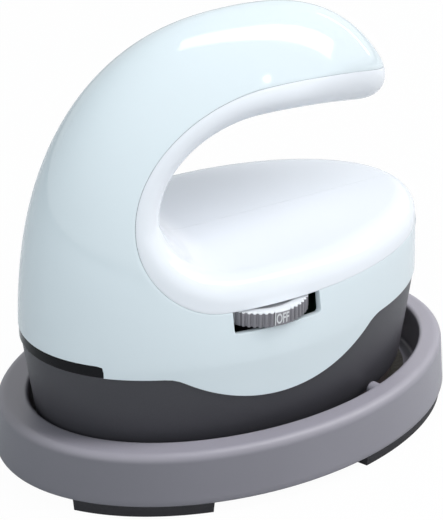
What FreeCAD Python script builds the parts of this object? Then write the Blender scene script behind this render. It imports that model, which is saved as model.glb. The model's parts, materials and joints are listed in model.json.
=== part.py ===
import FreeCAD, Part

import math
import os

# A mini handheld heat press standing in its rest tray. Millimetres, +Z up, the nose and
# the spine of the grip towards -X, the open end of the grip towards +X, the dial on -Y.
# The origin is on the ground, under the middle of the tray.

V = FreeCAD.Vector
os.makedirs("parts", exist_ok=True)

# ---------------------------------------------------------------- rest tray
WELL_GAP_LENGTH = 5.1        # skirt's bottom edge to the wall of the well, along the tray
WELL_GAP_WIDTH = 3.3         # and across it
TRAY_DRAFT = 1.5             # how far the wall leans in, from foot to rim
TRAY_HEIGHT = 14.7
TRAY_FLOOR = 2.5
RIM_WIDTH = 7.0
RIM_OUTER_ROUND = 2.0
RIM_INNER_ROUND = 1.2
TRAY_FOOT_ROUND = 0.5
FOOT_HEIGHT = 4.0
FOOT_INSET = 1.2             # foot to the edge of the tray, at its top
FOOT_LEAN = 0.4              # how far the foot's face leans in
FOOT_WIDTH = 8.5
NOSE_FOOT_FROM = 114.5       # angles round the tray's oval, degrees from the heel
NOSE_FOOT_TO = 151.5
HEEL_FOOT_FROM = 31.0
HEEL_FOOT_TO = 73.0
FOOT_SCREW_RADIUS = 1.25
FOOT_SCREW_HEAD_RADIUS = 2.4
FOOT_SCREW_HEAD = 1.6
FOOT_SCREW_LENGTH = 9.0
RIB_ANGLE = 62.7             # locating ribs inside the rim
RIB_WIDTH = 4.2
RIB_REACH = 2.3
RIB_BELOW_RIM = 0.2
POST_FROM_END = 20.6         # silicone rest posts, in from the hot plate's ends
POST_FROM_SIDE = 16.4
POST_RADIUS = 4.0
POST_SOCKET = 1.0
MAT_THICKNESS = 0.8
MAT_EDGE = 4.0
MAT_GAP = 0.4

# ---------------------------------------------------------------- hot plate
SOLE_Z = 8.0                 # underside of the hot plate, on its posts
PLATE_INSET = 1.8            # hot plate inside the skirt's bottom edge
PLATE_THICKNESS = 5.0
PLATE_ROUND = 1.5
PLATE_GROOVE = 1.2           # depth of the element's bed
BOSS_FROM_END = 16.6
BOSS_FROM_SIDE = 17.4
BOSS_RADIUS = 4.0
BOSS_HEIGHT = 4.0
PLATE_SCREW_RADIUS = 1.5
PLATE_SCREW_HEAD_RADIUS = 2.75
PLATE_SCREW_HEAD = 1.8
PLATE_SCREW_BITE = 6.0
ELEMENT_RADIUS = 3.0
ELEMENT_HALF_GAP = 17.0      # half the distance between the legs
ELEMENT_LEG = 42.0
ELEMENT_SETBACK = 34.8       # plate's nose to the centre of the bend
ELEMENT_PIN_RADIUS = 1.6
ELEMENT_PIN_RISE = 9.5
CLAMP_THICKNESS = 1.0
CLAMP_INSET_LENGTH = 11.6
CLAMP_INSET_WIDTH = 10.9
CLAMP_SCREW_X = 27.0
THERMOSTAT_RADIUS = 6.5
THERMOSTAT_HEIGHT = 4.6
THERMOSTAT_CAP_RADIUS = 4.5
FUSE_RADIUS = 2.0
FUSE_LENGTH = 12.0
FUSE_X = 14.0
PAD_THICKNESS = 2.0
PAD_MARGIN = 2.0             # the pad stays inside the clamp's edge
SHIELD_THICKNESS = 0.6
SHIELD_MARGIN = 1.5
TIGHT_GAP = 0.2              # between loose pieces that lie side by side

# ---------------------------------------------------------------- skirt
PRESS_X = -1.2               # centre of the press's ovals along the tray
SKIRT_BOTTOM = 14.0
SKIRT_INSET = 0.3            # skirt inside the shell's face, at the waist
SKIRT_LEAN_LENGTH = 3.4      # taper from the waist down to the bottom edge
SKIRT_LEAN_WIDTH = 2.8
SKIRT_WALL = 3.0
SKIRT_ROUND = 0.8
DECK_Z = 24.0                # underside of the deck that carries the works
DECK_THICKNESS = 2.0
DECK_HOLE_INSET_LENGTH = 15.6
DECK_HOLE_INSET_WIDTH = 9.4
TONGUE_RISE = 2.5            # tongue that stands up inside the shells
TONGUE_WALL = 1.4
TONGUE_GAP = 0.25
BOARD_POST_FROM_END = 4.0    # board's posts, in from its ends
BOARD_POST_FROM_SIDE = 6.5
BOARD_POST_RADIUS = 2.8
BOARD_Z = 38.0

# ---------------------------------------------------------------- shells
BODY_LOW = 24.0
BODY_WAIST = 40.0            # the body is widest up to this height
BODY_TOP = 122.6
BODY_HALF_LENGTH = 59.1
BODY_HALF_WIDTH = 38.3
LENGTH_POWER = 2.65          # how the body closes towards its top, end to end
LENGTH_ROOT = 2.4
WIDTH_POWER = 1.3            # and from side to side
WIDTH_ROOT = 1.73
HANDLE_LEAN = 3.5            # drift of the sections towards the heel, waist to top
LEAN_POWER = 1.3
SHELL_WALL = 2.0
TOP_CUT = 0.25               # small flat where the sections close
LIP_ROUND = 6.0
OPENING_BOTTOM = 62.2        # the grip's opening
SPINE_DEPTH = 33.3           # nose to the back of the opening, at the waist
OPENING_TOP = 97.0
OPENING_CORNER = 14.0
OPENING_CREST = 1.0
OPENING_FALL = 130.0         # radius of the arc that the top edge falls along
SEAM_BELOW = 7.9             # the line between liner and side shells, off the opening
SEAM_BEHIND = 12.0
SEAM_ABOVE = 9.0
SEAM_CORNER = 19.5
SEAM_CREST = 3.0
SEAM_FALL = 131.0
EDGE_NOSE = 37.6             # lower edge of the shells: two level ends and a bulge
EDGE_HEEL = 40.4
EDGE_BULGE = 28.7
EDGE_BULGE_X = -5.0
EDGE_BULGE_RADIUS = 50.0
EDGE_CORNER = 9.0
WINDOW_HEIGHT = 3.4          # indicator window round the nose
WINDOW_HALF_WIDTH = 22.2
WINDOW_GAP = 0.1
LOCK_RADIUS = 3.2            # bosses that lock the two halves together
LOCK_PIN_RADIUS = 1.6
LOCK_PIN_LENGTH = 4.0
LOCK_FIT = 0.05
LOCK_OFF_SEAM = 4.0          # upper locks above the seam's top
LOCK_HALF_SPREAD = 20.0
LOCK_NOSE_Z = 82.0
SHELL_BOSS_FROM_END = 25.6
SHELL_BOSS_FROM_SIDE = 16.0
SHELL_BOSS_RADIUS = 2.8
SHELL_BOSS_TOP = 52.0
SHELL_WEB = 2.0
SHELL_WEB_HEIGHT = 6.0
SHELL_SCREW_RADIUS = 1.25
SHELL_SCREW_HEAD_RADIUS = 2.4
SHELL_SCREW_HEAD = 1.6
SHELL_SCREW_BITE = 9.0

# ---------------------------------------------------------------- dial and electronics
DIAL_X = -5.0
DIAL_REACH = 2.1             # rim of the wheel past the body's widest face
DIAL_RADIUS = 14.4
DIAL_LOW = 48.9
DIAL_THICKNESS = 4.8
DIAL_CLEARANCE = 0.6         # wheel to the slot's lower edge
DIAL_TEETH = 60
TOOTH_DEPTH = 0.45
DIAL_STEPS = 6               # smooth label patches share the rim in steps of 60 degrees
PATCH_TEETH = 3
DIAL_RECESS = 0.8
DIAL_RIM = 3.0
DIAL_HUB_RADIUS = 5.0
DIAL_SIDE_GAP = 0.4          # wheel to the relief behind the slot
SLOT_HALF_LENGTH = 12.8
SHAFT_RADIUS = 3.0
SHAFT_FIT = 0.05
SWITCH_SIDE = 14.0
SWITCH_HEIGHT = 6.5
COLLAR_RADIUS = 4.5
COLLAR_HEIGHT = 2.4
BOARD_THICKNESS = 1.6
BOARD_BOSS_GAP = 5.2         # board to the shell's bosses, along the tray
BOARD_EDGE_GAP = 0.6
BOARD_SCREW_RADIUS = 1.0
BOARD_SCREW_HEAD_RADIUS = 1.9
BOARD_SCREW_HEAD = 1.3
BOARD_SCREW_BITE = 6.0
TRIAC_SIZE = (10.0, 4.5, 12.0)
CAPACITOR_RADIUS = 4.0
CAPACITOR_HEIGHT = 11.0
CAPACITOR_GAP = 1.5
LAMP_BOARD_SETBACK = 12.2    # nose to the small board
LAMP_BOARD_HALF_WIDTH = 14.0
LAMP_BOARD_TOP = 43.0
LAMP_BOARD_THICKNESS = 1.2
LAMP_COUNT = 3
LAMP_PITCH = 8.0
LAMP_RADIUS = 1.5
LAMP_LENGTH = 3.0
TERMINAL_SIZE = (12.0, 20.0, 9.0)
TERMINAL_FROM_HEEL = 18.4
INLET_Z = 48.5
INLET_RADIUS = 5.0
INLET_BORE = 3.2
INLET_FLANGE = 1.4
INLET_FLANGE_THICKNESS = 1.2
INLET_LENGTH = 9.0
LEAD_RADIUS = 0.9
LEAD_HALF_GAP = 3.0
LEAD_BEND = 4.0

# ---------------------------------------------------------------- places that follow
NOSE_X = PRESS_X - BODY_HALF_LENGTH
SKIRT_HALF_LENGTH = BODY_HALF_LENGTH - SKIRT_INSET - SKIRT_LEAN_LENGTH
SKIRT_HALF_WIDTH = BODY_HALF_WIDTH - SKIRT_INSET - SKIRT_LEAN_WIDTH
RIM_Z = FOOT_HEIGHT + TRAY_HEIGHT
FLOOR_Z = FOOT_HEIGHT + TRAY_FLOOR
WELL_HALF_LENGTH = SKIRT_HALF_LENGTH + WELL_GAP_LENGTH
WELL_HALF_WIDTH = SKIRT_HALF_WIDTH + WELL_GAP_WIDTH
TRAY_HALF_LENGTH = WELL_HALF_LENGTH + RIM_WIDTH + TRAY_DRAFT
TRAY_HALF_WIDTH = WELL_HALF_WIDTH + RIM_WIDTH + TRAY_DRAFT
PLATE_HALF_LENGTH = SKIRT_HALF_LENGTH - PLATE_INSET
PLATE_HALF_WIDTH = SKIRT_HALF_WIDTH - PLATE_INSET
POST_X = PLATE_HALF_LENGTH - POST_FROM_END
POST_Y = PLATE_HALF_WIDTH - POST_FROM_SIDE
BOSS_X = PLATE_HALF_LENGTH - BOSS_FROM_END
BOSS_Y = PLATE_HALF_WIDTH - BOSS_FROM_SIDE
ELEMENT_NOSE_X = PRESS_X - PLATE_HALF_LENGTH + ELEMENT_SETBACK
CLAMP_HALF_LENGTH = PLATE_HALF_LENGTH - CLAMP_INSET_LENGTH
CLAMP_HALF_WIDTH = PLATE_HALF_WIDTH - CLAMP_INSET_WIDTH
DECK_HOLE_LENGTH = PLATE_HALF_LENGTH - DECK_HOLE_INSET_LENGTH
DECK_HOLE_WIDTH = PLATE_HALF_WIDTH - DECK_HOLE_INSET_WIDTH
OPENING_BACK = NOSE_X + SPINE_DEPTH
SEAM_BOTTOM = OPENING_BOTTOM - SEAM_BELOW
SEAM_BACK = OPENING_BACK - SEAM_BEHIND
SEAM_TOP = OPENING_TOP + SEAM_ABOVE
LOCK_TOP_Z = SEAM_TOP + LOCK_OFF_SEAM
LOCK_PLACES = (
    (LOCK_HALF_SPREAD, LOCK_TOP_Z),
    (-LOCK_HALF_SPREAD, LOCK_TOP_Z),
    ((NOSE_X + SEAM_BACK) / 2, LOCK_NOSE_Z),
)
SHELL_BOSS_X = BODY_HALF_LENGTH - SHELL_BOSS_FROM_END
SHELL_BOSS_Y = BODY_HALF_WIDTH - SHELL_BOSS_FROM_SIDE
DIAL_Y = DIAL_RADIUS - BODY_HALF_WIDTH - DIAL_REACH
BOARD_HALF_LENGTH = SHELL_BOSS_X - SHELL_BOSS_RADIUS - BOARD_BOSS_GAP
BOARD_HALF_WIDTH = BODY_HALF_WIDTH - SHELL_WALL - TONGUE_GAP
BOARD_POST_X = BOARD_HALF_LENGTH - BOARD_POST_FROM_END
BOARD_POST_Y = BOARD_HALF_WIDTH - BOARD_EDGE_GAP - BOARD_POST_FROM_SIDE
LAMP_BOARD_X = NOSE_X + LAMP_BOARD_SETBACK
TERMINAL_X = PRESS_X + BODY_HALF_LENGTH - TERMINAL_FROM_HEEL
PLATE_TOP = SOLE_Z + PLATE_THICKNESS
ELEMENT_Z = PLATE_TOP - PLATE_GROOVE + ELEMENT_RADIUS
CLAMP_Z = ELEMENT_Z + ELEMENT_RADIUS
PAD_Z = CLAMP_Z + CLAMP_THICKNESS
SHIELD_Z = DECK_Z - SHIELD_THICKNESS
DECK_TOP = DECK_Z + DECK_THICKNESS
BOARD_TOP = BOARD_Z + BOARD_THICKNESS
SWITCH_TOP = BOARD_TOP + SWITCH_HEIGHT
DIAL_TOP = DIAL_LOW + DIAL_THICKNESS
SLOT_LOW = DIAL_LOW - DIAL_CLEARANCE
WINDOW_TOP = EDGE_NOSE + WINDOW_HEIGHT
FAR = 1.5 * BODY_HALF_LENGTH # reach of the cutting prisms, past every face
CLOSE = 0.01                 # nearness that counts as the same place


# ---------------------------------------------------------------- simple solids
def oval_wire(half_length, half_width, z, x):
    """Level oval outline."""
    return Part.Wire([Part.Ellipse(V(x, 0, z), half_length, half_width).toShape()])


def oval_prism(half_length, half_width, low, high, x=0.0):
    """Upright oval prism."""
    face = Part.Face(oval_wire(half_length, half_width, low, x))
    return face.extrude(V(0, 0, high - low))


def box(x0, x1, y0, y1, z0, z1):
    """Box from its two extents along each axis."""
    return Part.makeBox(x1 - x0, y1 - y0, z1 - z0, V(x0, y0, z0))


def post(x, y, low, high, radius):
    """Upright round post."""
    return Part.makeCylinder(radius, high - low, V(x, y, low))


def level_edges(shape, z):
    """Edges that lie level at height z."""
    return [
        edge
        for edge in shape.Edges
        if abs(edge.BoundBox.ZMin - z) < CLOSE and abs(edge.BoundBox.ZMax - z) < CLOSE
    ]


def corners(x, y, centre=0.0):
    """The four places that mirror one place about both middle planes."""
    return [(centre + sx * x, sy * y) for sx in (-1, 1) for sy in (-1, 1)]


def joined(shapes):
    """One solid from pieces that overlap."""
    result = shapes[0]
    for shape in shapes[1:]:
        result = result.fuse(shape)
    return result.removeSplitter()


def less(shape, tools):
    """The shape with each tool cut away."""
    for tool in tools:
        shape = shape.cut(tool)
    return shape


def mirrored(shape):
    """The same shape on the other side of the middle plane."""
    return shape.mirror(V(0, 0, 0), V(0, 1, 0))


def screw(x, y, seat, radius, length, head_radius, head, up=1):
    """Upright screw: its shank runs up from the seat, or down where up is -1."""
    shank = Part.makeCylinder(radius, length, V(x, y, seat), V(0, 0, up))
    cap = Part.makeCylinder(head_radius, head, V(x, y, seat), V(0, 0, -up))
    slot_depth = head / 2
    slot = box(
        x - head_radius,
        x + head_radius,
        y - radius / 3,
        y + radius / 3,
        min(seat - up * head, seat - up * (head - slot_depth)),
        max(seat - up * head, seat - up * (head - slot_depth)),
    )
    return shank.fuse(cap).cut(slot)


def bent_wire(points, bend, radius):
    """Round rod along a path with a tangent arc at each inner point."""
    edges = []
    start = points[0]
    for before, corner, after in zip(points, points[1:], points[2:]):
        towards = (corner - before).normalize()
        onwards = (after - corner).normalize()
        half_turn = towards.getAngle(onwards) / 2
        trim = bend * math.tan(half_turn)
        first = corner - towards * trim
        last = corner + onwards * trim
        inward = (onwards - towards).normalize()
        middle = corner + inward * (bend / math.cos(half_turn) - bend)
        edges.append(Part.LineSegment(start, first).toShape())
        edges.append(Part.Arc(first, middle, last).toShape())
        start = last
    edges.append(Part.LineSegment(start, points[-1]).toShape())
    path = Part.Wire(edges)
    direction = points[1] - points[0]
    profile = Part.Wire([Part.Circle(points[0], direction, radius).toShape()])
    return path.makePipeShell([profile], True, True)


# ---------------------------------------------------------------- rest tray pieces
def on_tray_oval(angle, inset, z):
    """Place on the tray's foot outline, moved in by inset."""
    turn = math.radians(angle)
    return V(
        (TRAY_HALF_LENGTH - inset) * math.cos(turn),
        (TRAY_HALF_WIDTH - inset) * math.sin(turn),
        z,
    )


def locating_rib(angle):
    """Round-topped rib on the wall of the well, clear of the skirt."""
    turn = math.radians(angle)
    on_wall = V(WELL_HALF_LENGTH * math.cos(turn), WELL_HALF_WIDTH * math.sin(turn), 0)
    outward = V(
        WELL_HALF_WIDTH * math.cos(turn), WELL_HALF_LENGTH * math.sin(turn), 0
    ).normalize()
    top = RIM_Z - RIB_BELOW_RIM
    depth = RIB_REACH + RIM_WIDTH / 2
    core = Part.makeBox(depth, RIB_WIDTH, top - RIB_WIDTH / 2 - FLOOR_Z)
    core.translate(V(-RIB_REACH, -RIB_WIDTH / 2, FLOOR_Z))
    crown = Part.makeCylinder(
        RIB_WIDTH / 2, depth, V(-RIB_REACH, 0, top - RIB_WIDTH / 2), V(1, 0, 0)
    )
    rib = core.fuse(crown).removeSplitter()
    rib.rotate(V(0, 0, 0), V(0, 0, 1), math.degrees(math.atan2(outward.y, outward.x)))
    rib.translate(on_wall)
    return rib


def foot_spans():
    """Name, first angle and last angle of each foot."""
    return (
        ("foot_nose_left", NOSE_FOOT_FROM, NOSE_FOOT_TO),
        ("foot_heel_left", HEEL_FOOT_FROM, HEEL_FOOT_TO),
        ("foot_nose_right", -NOSE_FOOT_TO, -NOSE_FOOT_FROM),
        ("foot_heel_right", -HEEL_FOOT_TO, -HEEL_FOOT_FROM),
    )


def foot_screw_places(first, last):
    """Two places along a foot, a fifth of its span from each end."""
    middle = FOOT_INSET + FOOT_WIDTH / 2
    share = (last - first) / 5
    return [on_tray_oval(first + share, middle, 0), on_tray_oval(last - share, middle, 0)]


def base_tray():
    """Tray with a well for the press, ribs, post sockets and screw holes."""
    low = oval_wire(TRAY_HALF_LENGTH, TRAY_HALF_WIDTH, FOOT_HEIGHT, 0)
    high = oval_wire(
        TRAY_HALF_LENGTH - TRAY_DRAFT, TRAY_HALF_WIDTH - TRAY_DRAFT, RIM_Z, 0
    )
    tray = Part.makeLoft([low, high], True, True)
    tray = tray.makeFillet(RIM_OUTER_ROUND, level_edges(tray, RIM_Z))
    tray = tray.makeFillet(TRAY_FOOT_ROUND, level_edges(tray, FOOT_HEIGHT))
    well = oval_prism(WELL_HALF_LENGTH, WELL_HALF_WIDTH, FLOOR_Z, RIM_Z + 1)
    tray = tray.cut(well)
    inner_rim = [
        edge
        for edge in level_edges(tray, RIM_Z)
        if edge.BoundBox.XMax < WELL_HALF_LENGTH + RIM_WIDTH / 4
    ]
    tray = tray.makeFillet(RIM_INNER_ROUND, inner_rim)
    tray = joined([tray, locating_rib(RIB_ANGLE), locating_rib(-RIB_ANGLE)])
    sockets = [
        post(x, y, FLOOR_Z - POST_SOCKET, FLOOR_Z + 1, POST_RADIUS)
        for x, y in corners(POST_X, POST_Y, PRESS_X)
    ]
    holes = [
        post(p.x, p.y, FOOT_HEIGHT, FOOT_SCREW_HEAD + FOOT_SCREW_LENGTH, FOOT_SCREW_RADIUS)
        for _, first, last in foot_spans()
        for p in foot_screw_places(first, last)
    ]
    return less(tray, sockets + holes)


def foot(first, last):
    """Foot pad that follows the tray's edge between two angles."""
    outer_low = oval_wire(
        TRAY_HALF_LENGTH - FOOT_INSET - FOOT_LEAN,
        TRAY_HALF_WIDTH - FOOT_INSET - FOOT_LEAN,
        0,
        0,
    )
    outer_high = oval_wire(
        TRAY_HALF_LENGTH - FOOT_INSET, TRAY_HALF_WIDTH - FOOT_INSET, FOOT_HEIGHT, 0
    )
    ring = Part.makeLoft([outer_low, outer_high], True, True)
    inner = FOOT_INSET + FOOT_WIDTH
    ring = ring.cut(
        oval_prism(TRAY_HALF_LENGTH - inner, TRAY_HALF_WIDTH - inner, -1, FOOT_HEIGHT + 1)
    )
    middle = (first + last) / 2
    reach = 2.0
    rays = [on_tray_oval(angle, 0, 0) * reach for angle in (first, middle, last)]
    sector = Part.Face(Part.makePolygon([V(0, 0, 0)] + rays + [V(0, 0, 0)]))
    sector = sector.extrude(V(0, 0, FOOT_HEIGHT))
    pad = ring.common(sector)
    for p in foot_screw_places(first, last):
        pad = pad.cut(post(p.x, p.y, -1, FOOT_HEIGHT + 1, FOOT_SCREW_RADIUS))
        pad = pad.cut(post(p.x, p.y, -1, FOOT_SCREW_HEAD, FOOT_SCREW_HEAD_RADIUS))
    return pad


def foot_screws():
    """Screws that hold the feet, two to a foot, with sunk heads."""
    return [
        screw(
            p.x,
            p.y,
            FOOT_SCREW_HEAD,
            FOOT_SCREW_RADIUS,
            FOOT_SCREW_LENGTH,
            FOOT_SCREW_HEAD_RADIUS,
            FOOT_SCREW_HEAD - TIGHT_GAP,
        )
        for _, first, last in foot_spans()
        for p in foot_screw_places(first, last)
    ]


def rest_posts():
    """Silicone posts in the tray's sockets that the hot plate stands on."""
    return [
        post(x, y, FLOOR_Z - POST_SOCKET, SOLE_Z, POST_RADIUS)
        for x, y in corners(POST_X, POST_Y, PRESS_X)
    ]


def base_mat():
    """Heat-proof mat on the floor of the well, with holes for the posts."""
    mat = oval_prism(
        WELL_HALF_LENGTH - MAT_EDGE,
        WELL_HALF_WIDTH - MAT_EDGE,
        FLOOR_Z,
        FLOOR_Z + MAT_THICKNESS,
    )
    holes = [
        post(x, y, FLOOR_Z - 1, SOLE_Z, POST_RADIUS + MAT_GAP)
        for x, y in corners(POST_X, POST_Y, PRESS_X)
    ]
    return less(mat, holes)


# ---------------------------------------------------------------- hot plate pieces
def element_path():
    """Bare points of the element: leg, bend round the nose, leg."""
    heel = ELEMENT_NOSE_X + ELEMENT_LEG
    return heel, ELEMENT_HALF_GAP


def element_tube(radius):
    """U-shaped rod with level legs, as large as radius."""
    heel, gap = element_path()
    first = V(heel, -gap, ELEMENT_Z)
    bend_in = V(ELEMENT_NOSE_X, -gap, ELEMENT_Z)
    nose = V(ELEMENT_NOSE_X - gap, 0, ELEMENT_Z)
    bend_out = V(ELEMENT_NOSE_X, gap, ELEMENT_Z)
    last = V(heel, gap, ELEMENT_Z)
    path = Part.Wire(
        [
            Part.LineSegment(first, bend_in).toShape(),
            Part.Arc(bend_in, nose, bend_out).toShape(),
            Part.LineSegment(bend_out, last).toShape(),
        ]
    )
    profile = Part.Wire([Part.Circle(first, V(1, 0, 0), radius).toShape()])
    return path.makePipeShell([profile], True, True)


def heating_element():
    """Tubular element with an upright cold pin near each end."""
    heel, gap = element_path()
    pins = [
        post(
            heel - ELEMENT_RADIUS,
            side * gap,
            ELEMENT_Z,
            ELEMENT_Z + ELEMENT_RADIUS + ELEMENT_PIN_RISE,
            ELEMENT_PIN_RADIUS,
        )
        for side in (-1, 1)
    ]
    return joined([element_tube(ELEMENT_RADIUS)] + pins)


def clamp_screw_places():
    """Places of the two screws that draw the clamp down."""
    return [(PRESS_X - CLAMP_SCREW_X, 0.0), (PRESS_X + CLAMP_SCREW_X, 0.0)]


def heat_plate():
    """Aluminium plate with a bed for the element and bosses for its screws."""
    plate = oval_prism(PLATE_HALF_LENGTH, PLATE_HALF_WIDTH, SOLE_Z, PLATE_TOP, PRESS_X)
    plate = plate.makeFillet(PLATE_ROUND, level_edges(plate, SOLE_Z))
    bosses = [
        post(x, y, PLATE_TOP - 1, PLATE_TOP + BOSS_HEIGHT, BOSS_RADIUS)
        for x, y in corners(BOSS_X, BOSS_Y, PRESS_X)
    ]
    pillars = [
        post(x, y, PLATE_TOP - 1, CLAMP_Z, BOSS_RADIUS) for x, y in clamp_screw_places()
    ]
    plate = joined([plate] + bosses + pillars)
    holes = [
        post(
            x,
            y,
            PLATE_TOP + BOSS_HEIGHT - PLATE_SCREW_BITE,
            PLATE_TOP + BOSS_HEIGHT + 1,
            PLATE_SCREW_RADIUS,
        )
        for x, y in corners(BOSS_X, BOSS_Y, PRESS_X)
    ]
    holes += [
        post(x, y, CLAMP_Z - PLATE_SCREW_BITE, CLAMP_Z + 1, PLATE_SCREW_RADIUS)
        for x, y in clamp_screw_places()
    ]
    return less(plate, holes + [element_tube(ELEMENT_RADIUS)])


def thermostat():
    """Disc thermostat on the middle of the plate, under a hole in the clamp."""
    body = post(PRESS_X, 0, PLATE_TOP, PLATE_TOP + THERMOSTAT_HEIGHT, THERMOSTAT_RADIUS)
    cap = post(PRESS_X, 0, PLATE_TOP, PAD_Z, THERMOSTAT_CAP_RADIUS)
    tabs = [
        box(
            PRESS_X + side * THERMOSTAT_CAP_RADIUS / 2 - 1.5,
            PRESS_X + side * THERMOSTAT_CAP_RADIUS / 2 + 1.5,
            -0.4,
            0.4,
            PAD_Z - 1,
            PAD_Z + PAD_THICKNESS,
        )
        for side in (-1, 1)
    ]
    return joined([body, cap] + tabs)


def thermal_fuse():
    """Fuse cartridge lying on the plate beside the thermostat."""
    centre_z = PLATE_TOP + FUSE_RADIUS
    cartridge = Part.makeCylinder(
        FUSE_RADIUS, FUSE_LENGTH, V(PRESS_X + FUSE_X, -FUSE_LENGTH / 2, centre_z), V(0, 1, 0)
    )
    tail = Part.makeCylinder(
        FUSE_RADIUS / 4,
        FUSE_LENGTH + 4,
        V(PRESS_X + FUSE_X, -FUSE_LENGTH / 2 - 2, centre_z),
        V(0, 1, 0),
    )
    return cartridge.fuse(tail)


def clamp_openings(low, high):
    """Holes through clamp and pad for the thermostat, the pins and the bosses."""
    heel, gap = element_path()
    cutters = [post(PRESS_X, 0, low, high, THERMOSTAT_CAP_RADIUS + TIGHT_GAP)]
    cutters += [
        post(heel - ELEMENT_RADIUS, side * gap, low, high, ELEMENT_PIN_RADIUS + TIGHT_GAP)
        for side in (-1, 1)
    ]
    cutters += [
        post(x, y, low, high, BOSS_RADIUS + TIGHT_GAP)
        for x, y in corners(BOSS_X, BOSS_Y, PRESS_X)
    ]
    return cutters


def element_clamp():
    """Steel sheet that presses the element into its bed."""
    sheet = oval_prism(CLAMP_HALF_LENGTH, CLAMP_HALF_WIDTH, CLAMP_Z, PAD_Z, PRESS_X)
    holes = [
        post(x, y, CLAMP_Z - 1, PAD_Z + 1, PLATE_SCREW_RADIUS)
        for x, y in clamp_screw_places()
    ]
    return less(sheet, holes + clamp_openings(CLAMP_Z - 1, PAD_Z + 1))


def clamp_screws():
    """Two screws through the clamp into the plate's pillars."""
    return [
        screw(
            x,
            y,
            PAD_Z,
            PLATE_SCREW_RADIUS,
            CLAMP_THICKNESS + PLATE_SCREW_BITE,
            PLATE_SCREW_HEAD_RADIUS,
            PLATE_SCREW_HEAD,
            -1,
        )
        for x, y in clamp_screw_places()
    ]


def insulation_pad():
    """Ceramic felt on the clamp."""
    top = PAD_Z + PAD_THICKNESS
    pad = oval_prism(
        CLAMP_HALF_LENGTH - PAD_MARGIN,
        CLAMP_HALF_WIDTH - PAD_MARGIN,
        PAD_Z,
        top,
        PRESS_X,
    )
    heads = [
        post(x, y, PAD_Z - 1, top + 1, PLATE_SCREW_HEAD_RADIUS + TIGHT_GAP)
        for x, y in clamp_screw_places()
    ]
    return less(pad, heads + clamp_openings(PAD_Z - 1, top + 1))


def insulating_spacers():
    """Ceramic spacers between the plate's bosses and the deck."""
    return [
        post(x, y, PLATE_TOP + BOSS_HEIGHT, DECK_Z, BOSS_RADIUS).cut(
            post(x, y, PLATE_TOP, DECK_Z + 1, PLATE_SCREW_RADIUS)
        )
        for x, y in corners(BOSS_X, BOSS_Y, PRESS_X)
    ]


def plate_screws():
    """Screws from the deck through the spacers into the plate's bosses."""
    length = DECK_TOP - (PLATE_TOP + BOSS_HEIGHT) + PLATE_SCREW_BITE
    return [
        screw(
            x,
            y,
            DECK_TOP,
            PLATE_SCREW_RADIUS,
            length,
            PLATE_SCREW_HEAD_RADIUS,
            PLATE_SCREW_HEAD,
            -1,
        )
        for x, y in corners(BOSS_X, BOSS_Y, PRESS_X)
    ]


def heat_shield():
    """Thin reflector sheet under the deck."""
    half_length, half_width = skirt_size(SHIELD_Z)
    margin = SKIRT_WALL + SHIELD_MARGIN
    sheet = oval_prism(
        half_length - margin, half_width - margin, SHIELD_Z, DECK_Z, PRESS_X
    )
    hole = oval_prism(DECK_HOLE_LENGTH, DECK_HOLE_WIDTH, SHIELD_Z - 1, DECK_Z + 1, PRESS_X)
    spacer_holes = [
        post(x, y, SHIELD_Z - 1, DECK_Z + 1, BOSS_RADIUS + TIGHT_GAP)
        for x, y in corners(BOSS_X, BOSS_Y, PRESS_X)
    ]
    head_holes = [
        post(x, y, SHIELD_Z - 1, DECK_Z + 1, SHELL_SCREW_HEAD_RADIUS + TIGHT_GAP)
        for x, y in corners(SHELL_BOSS_X, SHELL_BOSS_Y, PRESS_X)
    ]
    return less(sheet, [hole] + spacer_holes + head_holes)


# ---------------------------------------------------------------- body form
def body_section(z, inset):
    """Half length, half width and centre of the body's oval at height z."""
    top = BODY_TOP - inset
    rise = max(0.0, (z - BODY_WAIST) / (top - BODY_WAIST))
    length_share = (1 - rise**LENGTH_POWER) ** (1 / LENGTH_ROOT)
    width_share = (1 - rise**WIDTH_POWER) ** (1 / WIDTH_ROOT)
    return (
        (BODY_HALF_LENGTH - inset) * length_share,
        (BODY_HALF_WIDTH - inset) * width_share,
        PRESS_X + HANDLE_LEAN * rise**LEAN_POWER,
    )


def half_section(z, inset):
    """Half oval on the +Y side, closed by a straight line on the middle plane."""
    half_length, half_width, x = body_section(z, inset)
    oval = Part.Ellipse(V(x, 0, z), half_length, half_width)
    arc = Part.ArcOfEllipse(oval, 0, math.pi).toShape()
    chord = Part.LineSegment(V(x - half_length, 0, z), V(x + half_length, 0, z)).toShape()
    return Part.Wire([arc, chord])


def body_levels(inset):
    """Heights of the sections, closer together towards the top."""
    lower = [BODY_LOW, (BODY_LOW + BODY_WAIST) / 2]
    middle_step = 8.0
    middle = [BODY_WAIST, BODY_WAIST + middle_step, BODY_WAIST + 2 * middle_step]
    steps = 9
    top = BODY_TOP - inset - TOP_CUT
    span = top - middle[-1]
    upper = [
        middle[-1] + span * math.sin(math.pi / 2 * step / steps)
        for step in range(1, steps + 1)
    ]
    return lower + middle + upper


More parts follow.
